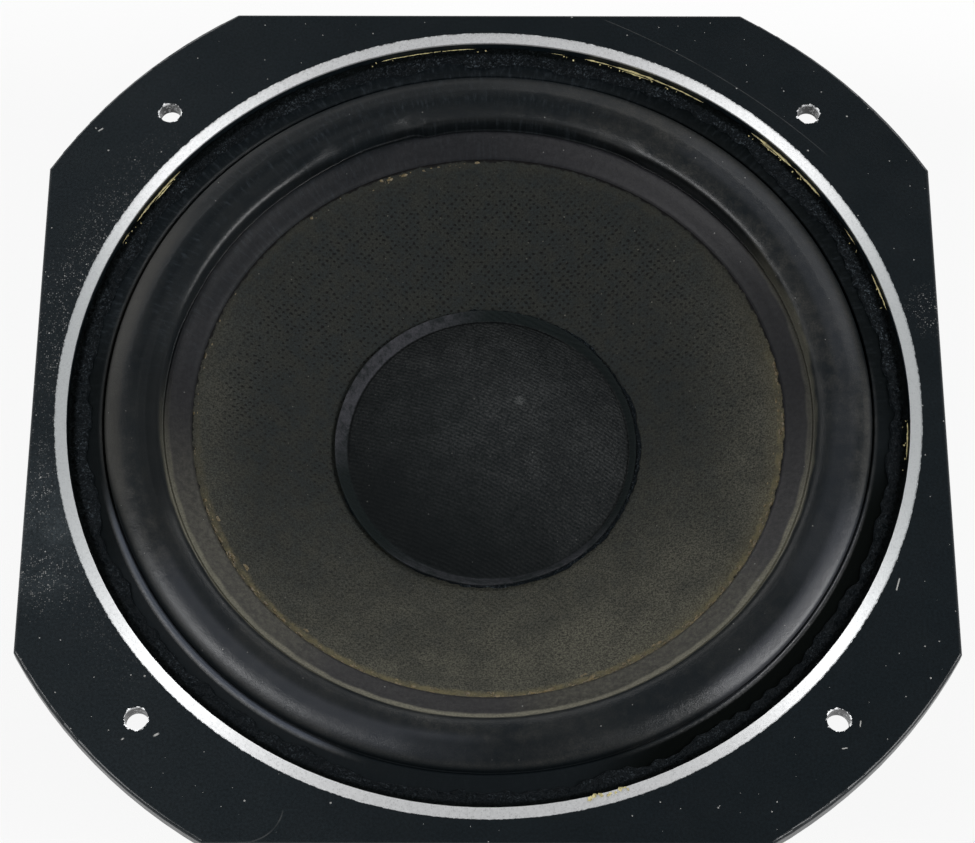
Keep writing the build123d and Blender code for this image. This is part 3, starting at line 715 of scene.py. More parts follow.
def cap_finish(settings):
    """Fine black cloth with slanting lines, with painted light making it paler towards the upper right, and
    on its lip grey patches of wear and painted highlight.
    """
    finish = Finish("cap_cloth")
    turn = settings.thread_angle
    lines_a_millimetre = tau * MM / settings.thread_pitch
    drift = (finish.noise(0.12, 2.0) - 0.5) * 1.1
    phase = (finish.along(cos(turn), sin(turn)) + drift) * lines_a_millimetre
    line = (finish.math("SINE", phase) + 1.0) * 0.5
    stitch_phase = finish.along(-sin(turn), cos(turn)) * (0.8 * lines_a_millimetre)
    stitch = (finish.math("SINE", stitch_phase) + 1.0) * 0.5
    yarn = line * finish.blend(0.45, 1.0, stitch)
    fuzz = finish.noise(1.9, 5.0, 0.78)
    worn = finish.noise(0.11, 4.0, 0.7).step(0.34, 0.66, 0.65, 1.2)
    # Painted light: the threads grow paler towards the upper right, where more light falls on the dome
    painted_light_share = worn * finish.along(0.6, 1.0).step(-40.0, 14.0, 0.16, 1.0)
    lit = finish.blend(0.42, yarn, 1.0) * fuzz.step(0.36, 0.64, 0.1, 1.25)
    colour = finish.mix(lit * painted_light_share, settings.cloth, settings.thread)
    colour = finish.mix(finish.specks(0.20, 0.18, 0.4), colour, (0.07, 0.07, 0.068))
    pale_spot = finish.away(7.8, 9.2).step(0.7, 1.7, 0.5, 0.0)
    colour = finish.mix(pale_spot * fuzz.step(0.36, 0.6), colour, (0.10, 0.105, 0.105))

    # Lip: black on the right, grey at the upper left and along the near edge from wear and painted highlight,
    # with painted shade in its crease
    rim = CAP_RADIUS / MM
    lip = finish.radius.step(rim - 2.6, rim - 2.0)
    upper_left = finish.along(-0.79, 0.62).step(22.0, 34.0)
    nearest = finish.along(0.15, -1.0).step(20.0, 34.0, 0.0, 0.6)
    # Wear and painted highlight: grey patches on the lip at the upper left and the near edge
    wear_and_painted_highlight = (upper_left | nearest) * fuzz.step(0.3, 0.7, 0.45, 1.0)
    wear_and_painted_highlight *= finish.noise(0.3, 4.0, 0.7).step(0.36, 0.6, 0.25, 1.0)
    fold = finish.mix(fuzz, settings.cloth, (0.012, 0.017, 0.017))
    colour = finish.mix(lip, colour, finish.mix(wear_and_painted_highlight, fold, (0.054, 0.054, 0.062)))
    # Painted shade in the lip's crease at the upper left
    crease = finish.patch(120.0, 0.2, 0.6, rim - 2.9, rim - 2.4, 0.2)
    colour = finish.mix(crease * 0.8, colour, (0.0010, 0.0014, 0.0016))
    skin = finish.bump(yarn + fuzz * 1.6, 0.10)
    return finish.finish(finish.surface(colour, 0.66, skin, specular_ior_level=0.07))


def old_glue_finish(colour, name):
    """Old clear glue, gone yellow or brown."""
    finish = Finish(name)
    clouds = finish.noise(0.8, 3.0, 0.6)
    shade = finish.mix(clouds.step(0.3, 0.7), colour, times(0.35, colour))
    skin = finish.bump(finish.noise(2.5, 3.0), 0.12)
    return finish.finish(finish.surface(shade, 0.38, skin))


def plated_finish(colour, name, rough):
    """Plated metal with a clouded surface and fine scratches."""
    finish = Finish(name)
    clouds = finish.noise(0.09, 4.0, 0.6)
    shade = finish.mix(clouds.step(0.3, 0.7), colour, times(0.6, colour))
    stretched = finish.add("Mapping", finish.place)
    stretched.inputs["Scale"].default_value = (0.08, 2.2, 0.4)
    brushing_and_painted_highlight = finish.noise(1.5, 3.0, 0.6, stretched.outputs[0])
    rough_here = finish.blend(brushing_and_painted_highlight.step(0.3, 0.7), rough, rough + 0.22)
    skin = finish.bump(brushing_and_painted_highlight, 0.01)
    return finish.finish(finish.surface(shade, rough_here, skin, metallic=1.0))


def ferrite_finish(colour):
    """Sintered ferrite: dark grey, matt, ground on its faces, with small pits."""
    finish = Finish("sintered_ferrite")
    grain = finish.noise(1.8, 4.0, 0.7)
    shade = finish.mix(grain.step(0.3, 0.75), colour, times(0.55, colour))
    pits = finish.specks(0.45, 0.5, 0.35, dimensions="3D")
    shade = finish.mix(pits, shade, times(0.3, colour))
    skin = finish.bump(grain - pits, 0.12)
    return finish.finish(finish.surface(shade, 0.6, skin))


def wound_finish(colour):
    """Copper wire laid side by side, under clear enamel, with painted shade between the turns."""
    finish = Finish("copper_winding")
    wire_pitch = 0.35
    turns = finish.math("SINE", finish.z * (tau / wire_pitch))
    shade = finish.mix(turns.step(-1.0, 0.6), times(0.35, colour), colour)
    return finish.finish(finish.surface(shade, 0.28, finish.bump(turns, 0.08), metallic=1.0))


def fibre_finish(colour, name, scale, rough):
    """Pressed fibres: kraft paper and phenolic board."""
    finish = Finish(name)
    stretched = finish.add("Mapping", finish.place)
    stretched.inputs["Scale"].default_value = (0.35, 0.35, 2.0)
    fibres = finish.noise(scale, 5.0, 0.7, stretched.outputs[0])
    flecks = finish.specks(0.9, 0.35, 0.3, dimensions="3D")
    shade = finish.mix(fibres.step(0.3, 0.7), colour, times(0.6, colour))
    shade = finish.mix(flecks * 0.5, shade, times(0.4, colour))
    return finish.finish(finish.surface(shade, rough, finish.bump(fibres, 0.06)))


def spider_finish(colour):
    """Tan cloth with an open square weave, stiff with resin."""
    finish = Finish("spider_cloth")
    pitch = 0.9
    warp = finish.math("SINE", finish.x * (tau / pitch))
    weft = finish.math("SINE", finish.y * (tau / pitch))
    weave = warp * weft
    resin = finish.noise(0.07, 4.0, 0.6)
    shade = finish.mix(weave.step(-0.7, 0.5), times(0.4, colour), colour)
    shade = finish.mix(resin.step(0.4, 0.75, 0.0, 0.6), shade, times(0.55, colour))
    return finish.finish(finish.surface(shade, 0.55, finish.bump(weave, 0.12)))


def braid_finish(colour):
    """Copper tinsel, dulled and tinned in patches."""
    finish = Finish("tinsel_braid")
    patches = finish.noise(0.5, 3.0, 0.6).step(0.4, 0.7)
    shade = finish.mix(patches, colour, (0.45, 0.36, 0.28))
    skin = finish.bump(finish.noise(5.0, 2.0), 0.03)
    return finish.finish(finish.surface(shade, 0.4, skin, metallic=0.9))


def paint(name, material):
    """Gives a part of the frame its finish."""
    node = frame["nodes"][name]
    node.data.materials.clear()
    node.data.materials.append(material)


def deselect():
    """Leaves edit mode with nothing selected."""
    if bpy.context.object is not None and bpy.context.object.mode != "OBJECT":
        bpy.ops.object.mode_set(mode="OBJECT")
    bpy.ops.object.select_all(action="DESELECT")


def smooth(value):
    """A smooth step from nought to one."""
    held = max(0.0, min(1.0, value))
    return held * held * (3 - 2 * held)


def hump(value, centre, width):
    """A bell of height one."""
    return exp(-(((value - centre) / width) ** 2))


def angle_between(first, second):
    """Signed difference of two bearings in radians."""
    return (first - second + pi) % tau - pi


def near_bearing(turn, degrees, width):
    """A bell of height one at a bearing, with both its place and its width in degrees."""
    return hump(angle_between(turn, radians(degrees)), 0.0, radians(width))


def between_bearings(turn, first, last, rise, fall):
    """One between two bearings, with soft ends inside them, all in degrees."""
    return smooth((turn - radians(first)) / radians(rise)) * smooth((radians(last) - turn) / radians(fall))


def cone_height(radius):
    """Height of the cone's front face."""
    return CONE_EDGE - (CONE_EDGE_RADIUS - radius) * CONE_FALL


def arc(start, middle, end, count):
    """Points on the arc through three points of a profile, ends included."""
    (ax, ay), (bx, by), (cx, cy) = start, middle, end
    double = 2 * (ax * (by - cy) + bx * (cy - ay) + cx * (ay - by))
    a2, b2, c2 = ax * ax + ay * ay, bx * bx + by * by, cx * cx + cy * cy
    ox = (a2 * (by - cy) + b2 * (cy - ay) + c2 * (ay - by)) / double
    oy = (a2 * (cx - bx) + b2 * (ax - cx) + c2 * (bx - ax)) / double
    first = atan2(ay - oy, ax - ox)
    sweep = angle_between(atan2(cy - oy, cx - ox), first)
    size = hypot(ax - ox, ay - oy)
    steps = [first + sweep * index / (count - 1) for index in range(count)]
    return [(ox + size * cos(turn), oy + size * sin(turn)) for turn in steps]


def shoulder(foot, crest_radius, crest_height, fullness, count):
    """Points from a foot up to just short of a crest, rounder the fuller it is."""
    reach, rise = foot[0] - crest_radius, crest_height - foot[1]
    points = []
    for index in range(count):
        turn = pi / 2 * index / count
        points.append((
            crest_radius + reach * cos(turn) ** (2 / fullness),
            foot[1] + rise * sin(turn) ** (2 / fullness),
        ))
    return points


def soften(points, rounds):
    """Rounds the corners of a profile and keeps its ends."""
    for _ in range(rounds):
        cut = [points[0]]
        for (ax, ay), (bx, by) in zip(points, points[1:]):
            cut.append((0.75 * ax + 0.25 * bx, 0.75 * ay + 0.25 * by))
            cut.append((0.25 * ax + 0.75 * bx, 0.25 * ay + 0.75 * by))
        points = [*cut, points[-1]]
    return points


def turn_profile(name, profile, segments, closed=False, pole=False):
    """Adds a circle at the profile's first point and extrudes it, ring by ring, through the others."""
    deselect()
    radius, height = profile[0]
    bpy.ops.mesh.primitive_circle_add(vertices=segments, radius=radius, location=(0, 0, height))
    piece = bpy.context.object
    piece.name = name
    piece.data.name = name
    bpy.ops.object.transform_apply(location=True, rotation=True, scale=True)
    bpy.ops.object.mode_set(mode="EDIT")
    bpy.ops.mesh.select_all(action="SELECT")
    for (radius, height), (next_radius, next_height) in zip(profile, profile[1:]):
        bpy.ops.mesh.extrude_region_move(TRANSFORM_OT_translate={"value": (0, 0, next_height - height)})
        spread = next_radius / radius
        bpy.ops.transform.resize(value=(spread, spread, 1), center_override=(0, 0, 0))
    if pole:
        bpy.ops.mesh.merge(type="CENTER")
    if closed:
        bpy.ops.mesh.select_all(action="DESELECT")
        bpy.ops.mesh.select_non_manifold()
        bpy.ops.mesh.bridge_edge_loops()
    bpy.ops.mesh.select_all(action="SELECT")
    bpy.ops.mesh.normals_make_consistent(inside=False)
    bpy.ops.object.mode_set(mode="OBJECT")
    if not closed and sum(face.normal.z for face in piece.data.polygons) < 0:
        bpy.ops.object.mode_set(mode="EDIT")
        bpy.ops.mesh.flip_normals()
        bpy.ops.object.mode_set(mode="OBJECT")
    return piece


def thicken(piece, thickness):
    """Gives a front face its wall, behind it."""
    bpy.ops.object.modifier_add(type="SOLIDIFY")
    wall = piece.modifiers[-1]
    wall.thickness = thickness
    wall.offset = -1.0
    wall.use_even_offset = True
    bpy.ops.object.modifier_apply(modifier=wall.name)


def dress(piece, material, angle=40.0):
    """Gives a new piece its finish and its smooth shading."""
    piece.data.materials.clear()
    piece.data.materials.append(material)
    bpy.ops.object.shade_smooth_by_angle(angle=radians(angle))


def sculpt(piece, move):
    """Moves each point of a piece by what a function says of its radius, bearing and height."""
    for vertex in piece.data.vertices:
        point = vertex.co
        radius = hypot(point.x, point.y)
        outwards, upwards = move(radius, atan2(point.y, point.x), point.z)
        if radius > 0:
            point.x *= 1 + outwards / radius
            point.y *= 1 + outwards / radius
        point.z += upwards
    piece.data.update()


def follow_by_radius(piece, fixed_radius, moving_radius):
    """Bends a round piece between the fixed casting outside and the moving cone inside."""
    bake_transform(piece, FIXED_BODY, MOVING_BODY, start=(fixed_radius, 0, 0), end=(moving_radius, 0, 0))
    shares = piece.data.attributes["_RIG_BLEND"].data
    for vertex, share in zip(piece.data.vertices, shares):
        radius = hypot(vertex.co.x, vertex.co.y)
        share.value = smooth((fixed_radius - radius) / (fixed_radius - moving_radius))


def around(radius, turn, scale, seed):
    """Noise that closes round the axis, at a scale in features a metre."""
    return noise.noise(Vector((radius * cos(turn) * scale, radius * sin(turn) * scale, seed)))


class DRIVER_OT_casting(bpy.types.Operator):
    """Paint the casting and bare its ring and bolt holes"""

    bl_idname = "driver.casting"
    bl_label = "Casting"

    def execute(self, context):
        paint("basket", casting_finish(context.scene.driver.casting))
        return {"FINISHED"}


class DRIVER_OT_surround(bpy.types.Operator):
    """Model the rubber surround with its gutter, half roll and inner flange"""

    bl_idname = "driver.surround"
    bl_label = "Surround"

    def execute(self, context):
        settings = context.scene.driver.surround
        flange_inner = SURROUND_RADIUS - settings.flange_width
        roll_outer = flange_inner - settings.gutter_width
        roll_inner = roll_outer - settings.roll_width
        lift = (settings.thickness + 0.15 * MM) * hypot(1.0, CONE_FALL)
        foot = cone_height(roll_inner) + lift
        gutter = FLANGE_TOP - settings.gutter_depth
        crest = FRONT - settings.crest_drop
        ridge = FLANGE_TOP + settings.ridge_height
        crest_radius = roll_outer - settings.crest_inset
        inner_foot = (roll_inner + 0.35 * MM, foot)

        def on_cone(inset, rise):
            """A point of the inner flange, by how far it lies inside the roll and rises over the cone."""
            return roll_inner - inset, cone_height(roll_inner - inset) + lift + rise

        outline = [
            (SURROUND_RADIUS, FLANGE_TOP),
            (flange_inner + 3.6 * MM, FLANGE_TOP),
            (flange_inner + 2.2 * MM, FLANGE_TOP + 0.3 * MM),
            (flange_inner + 0.8 * MM, ridge),
            (flange_inner - 0.3 * MM, ridge),
            (roll_outer + 0.3 * MM, gutter),
            *shoulder((roll_outer, gutter), crest_radius, crest, fullness=2.0, count=10),
            *reversed(shoulder(inner_foot, crest_radius, crest, fullness=3.0, count=12)),
            (roll_inner + 0.3 * MM, foot - 0.25 * MM),
            (roll_inner + 0.05 * MM, foot - 0.5 * MM),
            (roll_inner - 0.2 * MM, foot - 0.2 * MM),
            on_cone(0.5 * MM, 0.15 * MM),
            on_cone(1.0 * MM, 0.30 * MM),
            on_cone(1.8 * MM, 0.22 * MM),
            on_cone(3.0 * MM, 0.0),
            on_cone(settings.inner_width - 0.5 * MM, 0.0),
            on_cone(settings.inner_width, -0.45 * MM),
        ]
        piece = turn_profile("rubber_surround", soften(outline, rounds=2), segments=336)

        # Folds of the roll's inner wall: bearing in degrees and strength
        wrinkles = ((102.5, 1.5), (118, 1.3), (62, 0.6), (31, 0.5))

        def crumple(radius, turn, height):
            """Sways the roll, shapes its feet by bearing and folds its inner wall."""
            fade = 4 * MM
            on_roll = smooth((roll_outer - radius) / fade) * smooth((radius - roll_inner + 3 * MM) / fade)
            upwards = around(radius, turn, 22.0, 3.1) * 0.28 * MM * on_roll
            outwards = around(radius, turn, 35.0, 7.7) * 0.18 * MM * on_roll

            # The ridge and the gutter are full at the near left alone
            lowered = 0.75 * (1 - near_bearing(turn, 222, 38))
            upwards -= lowered * settings.ridge_height * hump(radius, flange_inner + 0.2 * MM, 1.5 * MM)
            shallow = 1 - 0.6 * near_bearing(turn, 228, 30)
            upwards += shallow * 0.85 * MM * hump(radius, roll_outer + 0.3 * MM, 1.3 * MM)
            flush = near_bearing(turn, 324, 24)
            upwards += flush * 0.5 * MM * hump(radius, roll_outer + 0.5 * MM, 0.7 * MM)
            spread = 1 - smooth(3 * cos(angle_between(turn, radians(255))) - 1.2)
            outwards += spread * 0.8 * MM * hump(radius, roll_outer - 1.2 * MM, 1.8 * MM)

            # The groove at the roll's inner foot is open at the far side, and the wall leans
            filled = max(smooth(0.8 - 1.5 * sin(turn)), 0.7 * smooth((turn - radians(118)) / radians(14)))
            upwards += filled * 0.45 * MM * hump(radius, roll_inner + 0.05 * MM, 0.45 * MM)
            pulled = between_bearings(turn, 101.5, 119, 2, 2)
            outwards += 0.8 * MM * pulled * hump(radius, roll_inner + 1.0 * MM, 1.8 * MM)
            tucked = max(between_bearings(turn, 121, 166, 10, 10), between_bearings(turn, 0, 66, 15, 10))
            outwards -= 0.7 * MM * tucked * hump(radius, roll_inner + 1.6 * MM, 1.5 * MM)
            for place, size in wrinkles:
                fold = size * near_bearing(turn, place, 3.0) * hump(radius, roll_inner + 2.0 * MM, 2.0 * MM)
                kink = sin(angle_between(turn, radians(place)) / radians(1.7))
                upwards -= fold * 0.35 * MM
                outwards += fold * kink * 0.55 * MM
            return outwards, upwards

        sculpt(piece, crumple)
        thicken(piece, settings.thickness)
        dress(piece, surround_finish(settings))
        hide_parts("surround")
        follow_by_radius(piece, roll_outer, roll_inner)
        return {"FINISHED"}


class DRIVER_OT_flange_adhesive(bpy.types.Operator):
    """Lay the rough glue ring on the surround's outer flange"""

    bl_idname = "driver.flange_adhesive"
    bl_label = "Flange adhesive"

    def execute(self, context):
        low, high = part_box("flange_adhesive")
        inner = high.x - 4.6 * MM
        floor = low.z + 0.03 * MM
        outline = [
            (high.x, floor),
            (inner + 1.5 * MM, floor),
            (inner, floor),
            (inner + 0.1 * MM, floor + 0.3 * MM),
            *[(inner + (0.45 + 0.32 * step) * MM, floor + 0.72 * MM) for step in range(13)],
            (high.x, floor + 0.9 * MM),
        ]
        piece = turn_profile("black_flange_glue", outline, segments=1500, closed=True)

        def lump(radius, turn, height):
            """Makes the ring's inner edge ragged and its top lumpy."""
            inward = smooth((high.x - 0.6 * MM - radius) / (3.4 * MM))
            ragged = around(inner, turn, 75.0, 1.3) * 1.9 + around(inner, turn, 330.0, 5.2) * 1.0
            above = smooth((height - floor) / (0.5 * MM))
            spot = Vector((radius * cos(turn), radius * sin(turn), height))
            rough = noise.fractal(spot * 900.0, 0.6, 2.0, 4)
            swell = around(radius, turn, 170.0, 2.2)
            return ragged * MM * inward, above * (0.42 * rough + 0.25 * swell) * MM

        sculpt(piece, lump)
        material = black_glue_finish(context.scene.driver.glue, "flange_glue", gloss=0.42)
        dress(piece, material, angle=70.0)
        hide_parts("flange_adhesive")
        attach(piece, FIXED_BODY)
        return {"FINISHED"}


class DRIVER_OT_cone(bpy.types.Operator):
    """Give the cone its coated weave"""

    bl_idname = "driver.cone"
    bl_label = "Cone"

    def execute(self, context):
        paint("cone", cone_finish(context.scene.driver.cone))
        return {"FINISHED"}


class DRIVER_OT_dust_cap(bpy.types.Operator):
    """Model the domed cloth cap with its turned-up lip"""

    bl_idname = "driver.dust_cap"
    bl_label = "Dust cap"

    def execute(self, context):
        settings = context.scene.driver.cap
        crease_radius = CAP_RADIUS - settings.lip_width
        crease = CAP_APEX - settings.dome_rise
        lip = crease + settings.lip_width * CONE_FALL + settings.lip_lift
        dome = arc((crease_radius, crease), (0.0, CAP_APEX), (-crease_radius, crease), 61)[:30]
        outline = [
            (CAP_RADIUS, lip - 0.25 * MM),
            (CAP_RADIUS - 0.12 * MM, lip),
            (CAP_RADIUS - 0.6 * MM, lip - 0.35 * MM),
            (crease_radius + 0.5 * MM, crease + 0.3 * MM),
            *dome,
            (0.3 * MM, CAP_APEX),
        ]
        piece = turn_profile("cloth_dust_cap", soften(outline, rounds=1), segments=256, pole=True)

        def settle(radius, turn, height):
            """Shifts the lip to the left, lets it wander and dents the dome a little."""
            on_lip = smooth((radius - crease_radius + 0.5 * MM) / (1.5 * MM))
            shift = -0.6 * cos(turn) * on_lip
            outwards = around(CAP_RADIUS, turn, 60.0, 4.4) * 0.30 * on_lip + shift
            dent = around(radius, turn, 26.0, 8.5) * 0.22 * (1 - on_lip)
            curl = around(CAP_RADIUS, turn, 45.0, 2.9) * 0.25 * on_lip
            return outwards * MM, (dent + shift * CONE_FALL + curl) * MM

        sculpt(piece, settle)
        thicken(piece, settings.thickness)
        dress(piece, cap_finish(settings))
        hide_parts("dust_cap")
        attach(piece, MOVING_BODY)
        return {"FINISHED"}


class DRIVER_OT_cap_adhesive(bpy.types.Operator):
    """Run the dark glue bead under the cap's lip"""

    bl_idname = "driver.cap_adhesive"
    bl_label = "Cap adhesive"

    def execute(self, context):
        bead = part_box("cap_adhesive")[1].x
        outline = []
        for inset, rise in ((1.6, 0.12), (1.5, 0.35), (0.9, 0.75), (0.5, 0.65), (0.1, 0.40), (-0.1, 0.12)):
            radius = bead - inset * MM
            outline.append((radius, cone_height(radius) + rise * MM))
        piece = turn_profile("black_cap_glue", soften(outline, rounds=1), segments=720, closed=True)

        def spread(radius, turn, height):
            """Makes the bead's outer edge ragged."""
            outer = smooth((radius - bead + 1.0 * MM) / (1.2 * MM))
            ragged = around(bead, turn, 110.0, 6.1) * 0.75 + around(bead, turn, 520.0, 3.3) * 0.40
            return ragged * outer * MM, ragged * outer * CONE_FALL * MM

        sculpt(piece, spread)
        material = black_glue_finish(context.scene.driver.glue, "cap_glue", gloss=0.30)
        dress(piece, material, angle=70.0)
        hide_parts("cap_adhesive")
        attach(piece, MOVING_BODY)
        return {"FINISHED"}


class DRIVER_OT_spider(bpy.types.Operator):
    """Press the corrugated spider"""

    bl_idname = "driver.spider"
    bl_label = "Spider"

    def execute(self, context):
        settings = context.scene.driver.suspension
        wave_end = SPIDER_RADIUS - settings.flange_width
        wave_start = SPIDER_BORE + settings.land_width
        top = SPIDER_MIDDLE + settings.thickness / 2
        waves = []
        points_a_wave = 14
        steps = points_a_wave * settings.wave_count
        for index in range(steps + 1):
            share = index / steps
            fade = smooth(share * 8) * smooth((1 - share) * 8)
            height = sin(share * settings.wave_count * tau) * settings.wave_height * fade
            waves.append((wave_end + (wave_start - wave_end) * share, top + height))
        outline = [(SPIDER_RADIUS, top), (wave_end + 2 * MM, top), *waves, (SPIDER_BORE, top)]
        piece = turn_profile("cloth_spider", outline, segments=192)
        thicken(piece, settings.thickness)
        dress(piece, spider_finish(settings.cloth))
        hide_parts("spider")
        follow_by_radius(piece, wave_end, wave_start)
        return {"FINISHED"}


# Routes of the tinsel leads: distance along the terminal leg's direction, across it, and height
LEAD_ROUTE = [
    (66.5, 15.5, 51.65),
    (66.0, 15.5, 56.65),
    (60.0, 15.5, 60.65),
    (52.0, 15.5, 57.15),
    (43.067, 14.965, 57.700),
    (39.467, 14.365, 62.700),
]
LEG_BEARING = radians(45.0)


def lead_points(side):
    """One lead's route in the frame."""
    points = []
    for along, across, height in LEAD_ROUTE:
        x = along * cos(LEG_BEARING) - side * across * sin(LEG_BEARING)
        y = along * sin(LEG_BEARING) + side * across * cos(LEG_BEARING)
        points.append(Vector((x, y, height)) * MM)
    return points


def new_curve(name, kind, points, thickness=0.0, roundness=0):
    """A curve on control points, solid where it has a thickness."""
    line = bpy.data.curves.new(name, "CURVE")
    line.dimensions = "3D"
    line.bevel_depth = thickness
    line.bevel_resolution = roundness
    line.use_fill_caps = thickness > 0
    spline = line.splines.new(kind)
    spline.points.add(len(points) - 1)
    for target, point in zip(spline.points, points):
        target.co = (*point, 1.0)
    piece = bpy.data.objects.new(name, line)
    bpy.context.collection.objects.link(piece)
    return piece


def route_samples(points):
    """Points along a smooth line with the route's points as its control points."""
    route = new_curve("route", "NURBS", points)
    route.data.resolution_u = 16
    route.data.splines[0].order_u = 3
    route.data.splines[0].use_endpoint_u = True
    mesh = bpy.data.meshes.new_from_object(route)
    samples = [vertex.co.copy() for vertex in mesh.vertices]
    bpy.data.meshes.remove(mesh)
    bpy.data.objects.remove(route)
    return samples


def strand(name, centre, start, turns, offset, radius):
    """One strand wound round a centre line, as a thin tube."""
    last = len(centre) - 1
    leg = Vector((cos(LEG_BEARING), sin(LEG_BEARING), 0.0))
    points = []
    for index, point in enumerate(centre):
        ahead = centre[min(index + 1, last)] - centre[max(index - 1, 0)]
        side = ahead.cross(leg).normalized()
        over = ahead.cross(side).normalized()
        phase = start + turns * tau * index / last
        points.append(point + offset * (side * cos(phase) + over * sin(phase)))
    return new_curve(name, "POLY", points, radius, 1)


def join_as_mesh(pieces, name):
    """Turns curves and lumps into one mesh piece."""
    deselect()
    for piece in pieces:
        piece.select_set(True)
    bpy.context.view_layer.objects.active = pieces[0]
    bpy.ops.object.convert(target="MESH")
    bpy.ops.object.join()
    joined = bpy.context.object
    joined.name = name
    joined.data.name = name
    return joined


class DRIVER_OT_leads(bpy.types.Operator):
    """Braid the two tinsel leads from the tags to the cone's back"""

    bl_idname = "driver.leads"
    bl_label = "Tinsel leads"

    def execute(self, context):
        settings = context.scene.driver.suspension
        material = braid_finish(settings.lead)
        strand_count = 7
        turns = 5.0
        offset = settings.lead_radius * 0.66
        thickness = settings.lead_radius - offset
        for name, side in (("tinsel_lead_positive", 1), ("tinsel_lead_negative", -1)):
            points = lead_points(side)
            centre = route_samples(points)
            strands = []
            for index in range(strand_count):
                start = tau * index / strand_count
                strands.append(strand(f"{name}_strand_{index}", centre, start, turns, offset, thickness))
            strands.append(strand(name + "_core", centre, 0.0, 0.0, 0.0, offset * 0.7))
            piece = join_as_mesh(strands, name.replace("tinsel_lead", "braided_lead"))
            dress(piece, material, angle=60.0)
            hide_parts(name)
            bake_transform(piece, FIXED_BODY, MOVING_BODY, start=points[0], end=points[-1])
        return {"FINISHED"}


def glue_string(number, first, last, radius, height, thickness):
    """An uneven string of glue along part of the recess wall, as a curve."""
    count = 3 * (last - first) + 2
    points, sizes = [], []
    for index in range(count):
        turn = radians(first + (last - first) * index / (count - 1))
        wave = noise.noise(Vector((turn * 40.0, number * 3.7, 0.0)))
        reach = radius + 0.08 * MM * noise.noise(Vector((turn * 90.0, number * 1.9, 4.0)))
        points.append((reach * cos(turn), reach * sin(turn), height + 0.12 * wave * MM))
        taper = smooth(min(index, count - 1 - index) / 4.0)
        uneven = 0.8 + 0.7 * noise.noise(Vector((turn * 60.0, number * 5.1, 9.0)))
        sizes.append(taper * max(uneven, 0.15) + 0.1)
    piece = new_curve(f"glue_string_{number}", "POLY", points, thickness, 2)
    for point, size in zip(piece.data.splines[0].points, sizes):
        point.radius = size
    return piece


def crumb(pattern, place, along, up, sizes, seed):
    """A copy of a ball, made a rough lump that lies on a surface."""
    piece = pattern.copy()
    piece.data = pattern.data.copy()
    bpy.context.collection.objects.link(piece)
    side = up.cross(along)
    for vertex in piece.data.vertices:
        point = vertex.co * (1.0 + 0.7 * noise.noise(vertex.co * 1.6 + Vector((seed, 0.0, 0.0))))
        vertex.co = place + along * point.x * sizes[0] + side * point.y * sizes[1] + up * point.z * sizes[2]
    return piece


def crumb_pattern():
    """The ball that every crumb starts from."""
    deselect()
    bpy.ops.mesh.primitive_ico_sphere_add(subdivisions=2, radius=1.0, location=(0, 0, 0))
    return bpy.context.object


class DRIVER_OT_wall_glue(bpy.types.Operator):
    """Leave strings and crumbs of old yellow glue along the recess wall"""

    bl_idname = "driver.wall_glue"
    bl_label = "Wall glue"

    def execute(self, context):
        wall = RECESS_RADIUS - 0.4 * MM
        low = FLANGE_TOP + 0.95 * MM
        upwards = Vector((0.0, 0.0, 1.0))

        # Strings: first and last bearing in degrees, and thickness in millimetres
        runs = (
            (15, 21, 0.20), (26, 29, 0.13), (35, 41, 0.26), (41, 49, 0.40), (57, 66, 0.20), (65, 72, 0.28),
            (72, 76, 0.18), (79, 81, 0.10), (92, 106, 0.12), (140, 150, 0.26), (152, 154, 0.14),
            (352, 358, 0.20),
        )
        second_row = ((43, 47), (66, 70), (142, 146))
        pieces = []
        for number, (first, last, size) in enumerate(runs):
            pieces.append(glue_string(number, first, last, wall, low, size * MM))
        for number, (first, last) in enumerate(second_row, len(runs)):
            pieces.append(glue_string(number, first, last, wall - 0.55 * MM, low - 0.05 * MM, 0.14 * MM))

        # Crumbs beside the strings, and flat ones on the ring at the front
        pattern = crumb_pattern()
        dice = Random(5)
        crumb_count, flake_count = 45, 14
        for number in range(crumb_count):
            first, last, _ = dice.choice(runs)
            turn = radians(dice.uniform(first - 2, last + 2))
            outward = Vector((cos(turn), sin(turn), 0.0))
            place = outward * (wall - dice.uniform(0.0, 1.2) * MM) + upwards * low
            sizes = [dice.uniform(0.10, 0.26) * MM for _ in range(3)]
            pieces.append(crumb(pattern, place, outward, upwards, sizes, number))
        for number in range(flake_count):
            turn = radians(dice.uniform(283, 289))
            outward = Vector((cos(turn), sin(turn), 0.0))
            place = outward * (RECESS_RADIUS + dice.uniform(0.0, 0.9) * MM) + upwards * FRONT
            sizes = (dice.uniform(0.2, 0.4) * MM, dice.uniform(0.2, 0.6) * MM, 0.07 * MM)
            pieces.append(crumb(pattern, place, outward, upwards, sizes, number))
        bpy.data.objects.remove(pattern)
        glue = join_as_mesh(pieces, "yellow_wall_glue")
        material = old_glue_finish(context.scene.driver.glue.yellow, "yellow_glue")
        dress(glue, material, angle=60.0)
        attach(glue, FIXED_BODY)
        return {"FINISHED"}


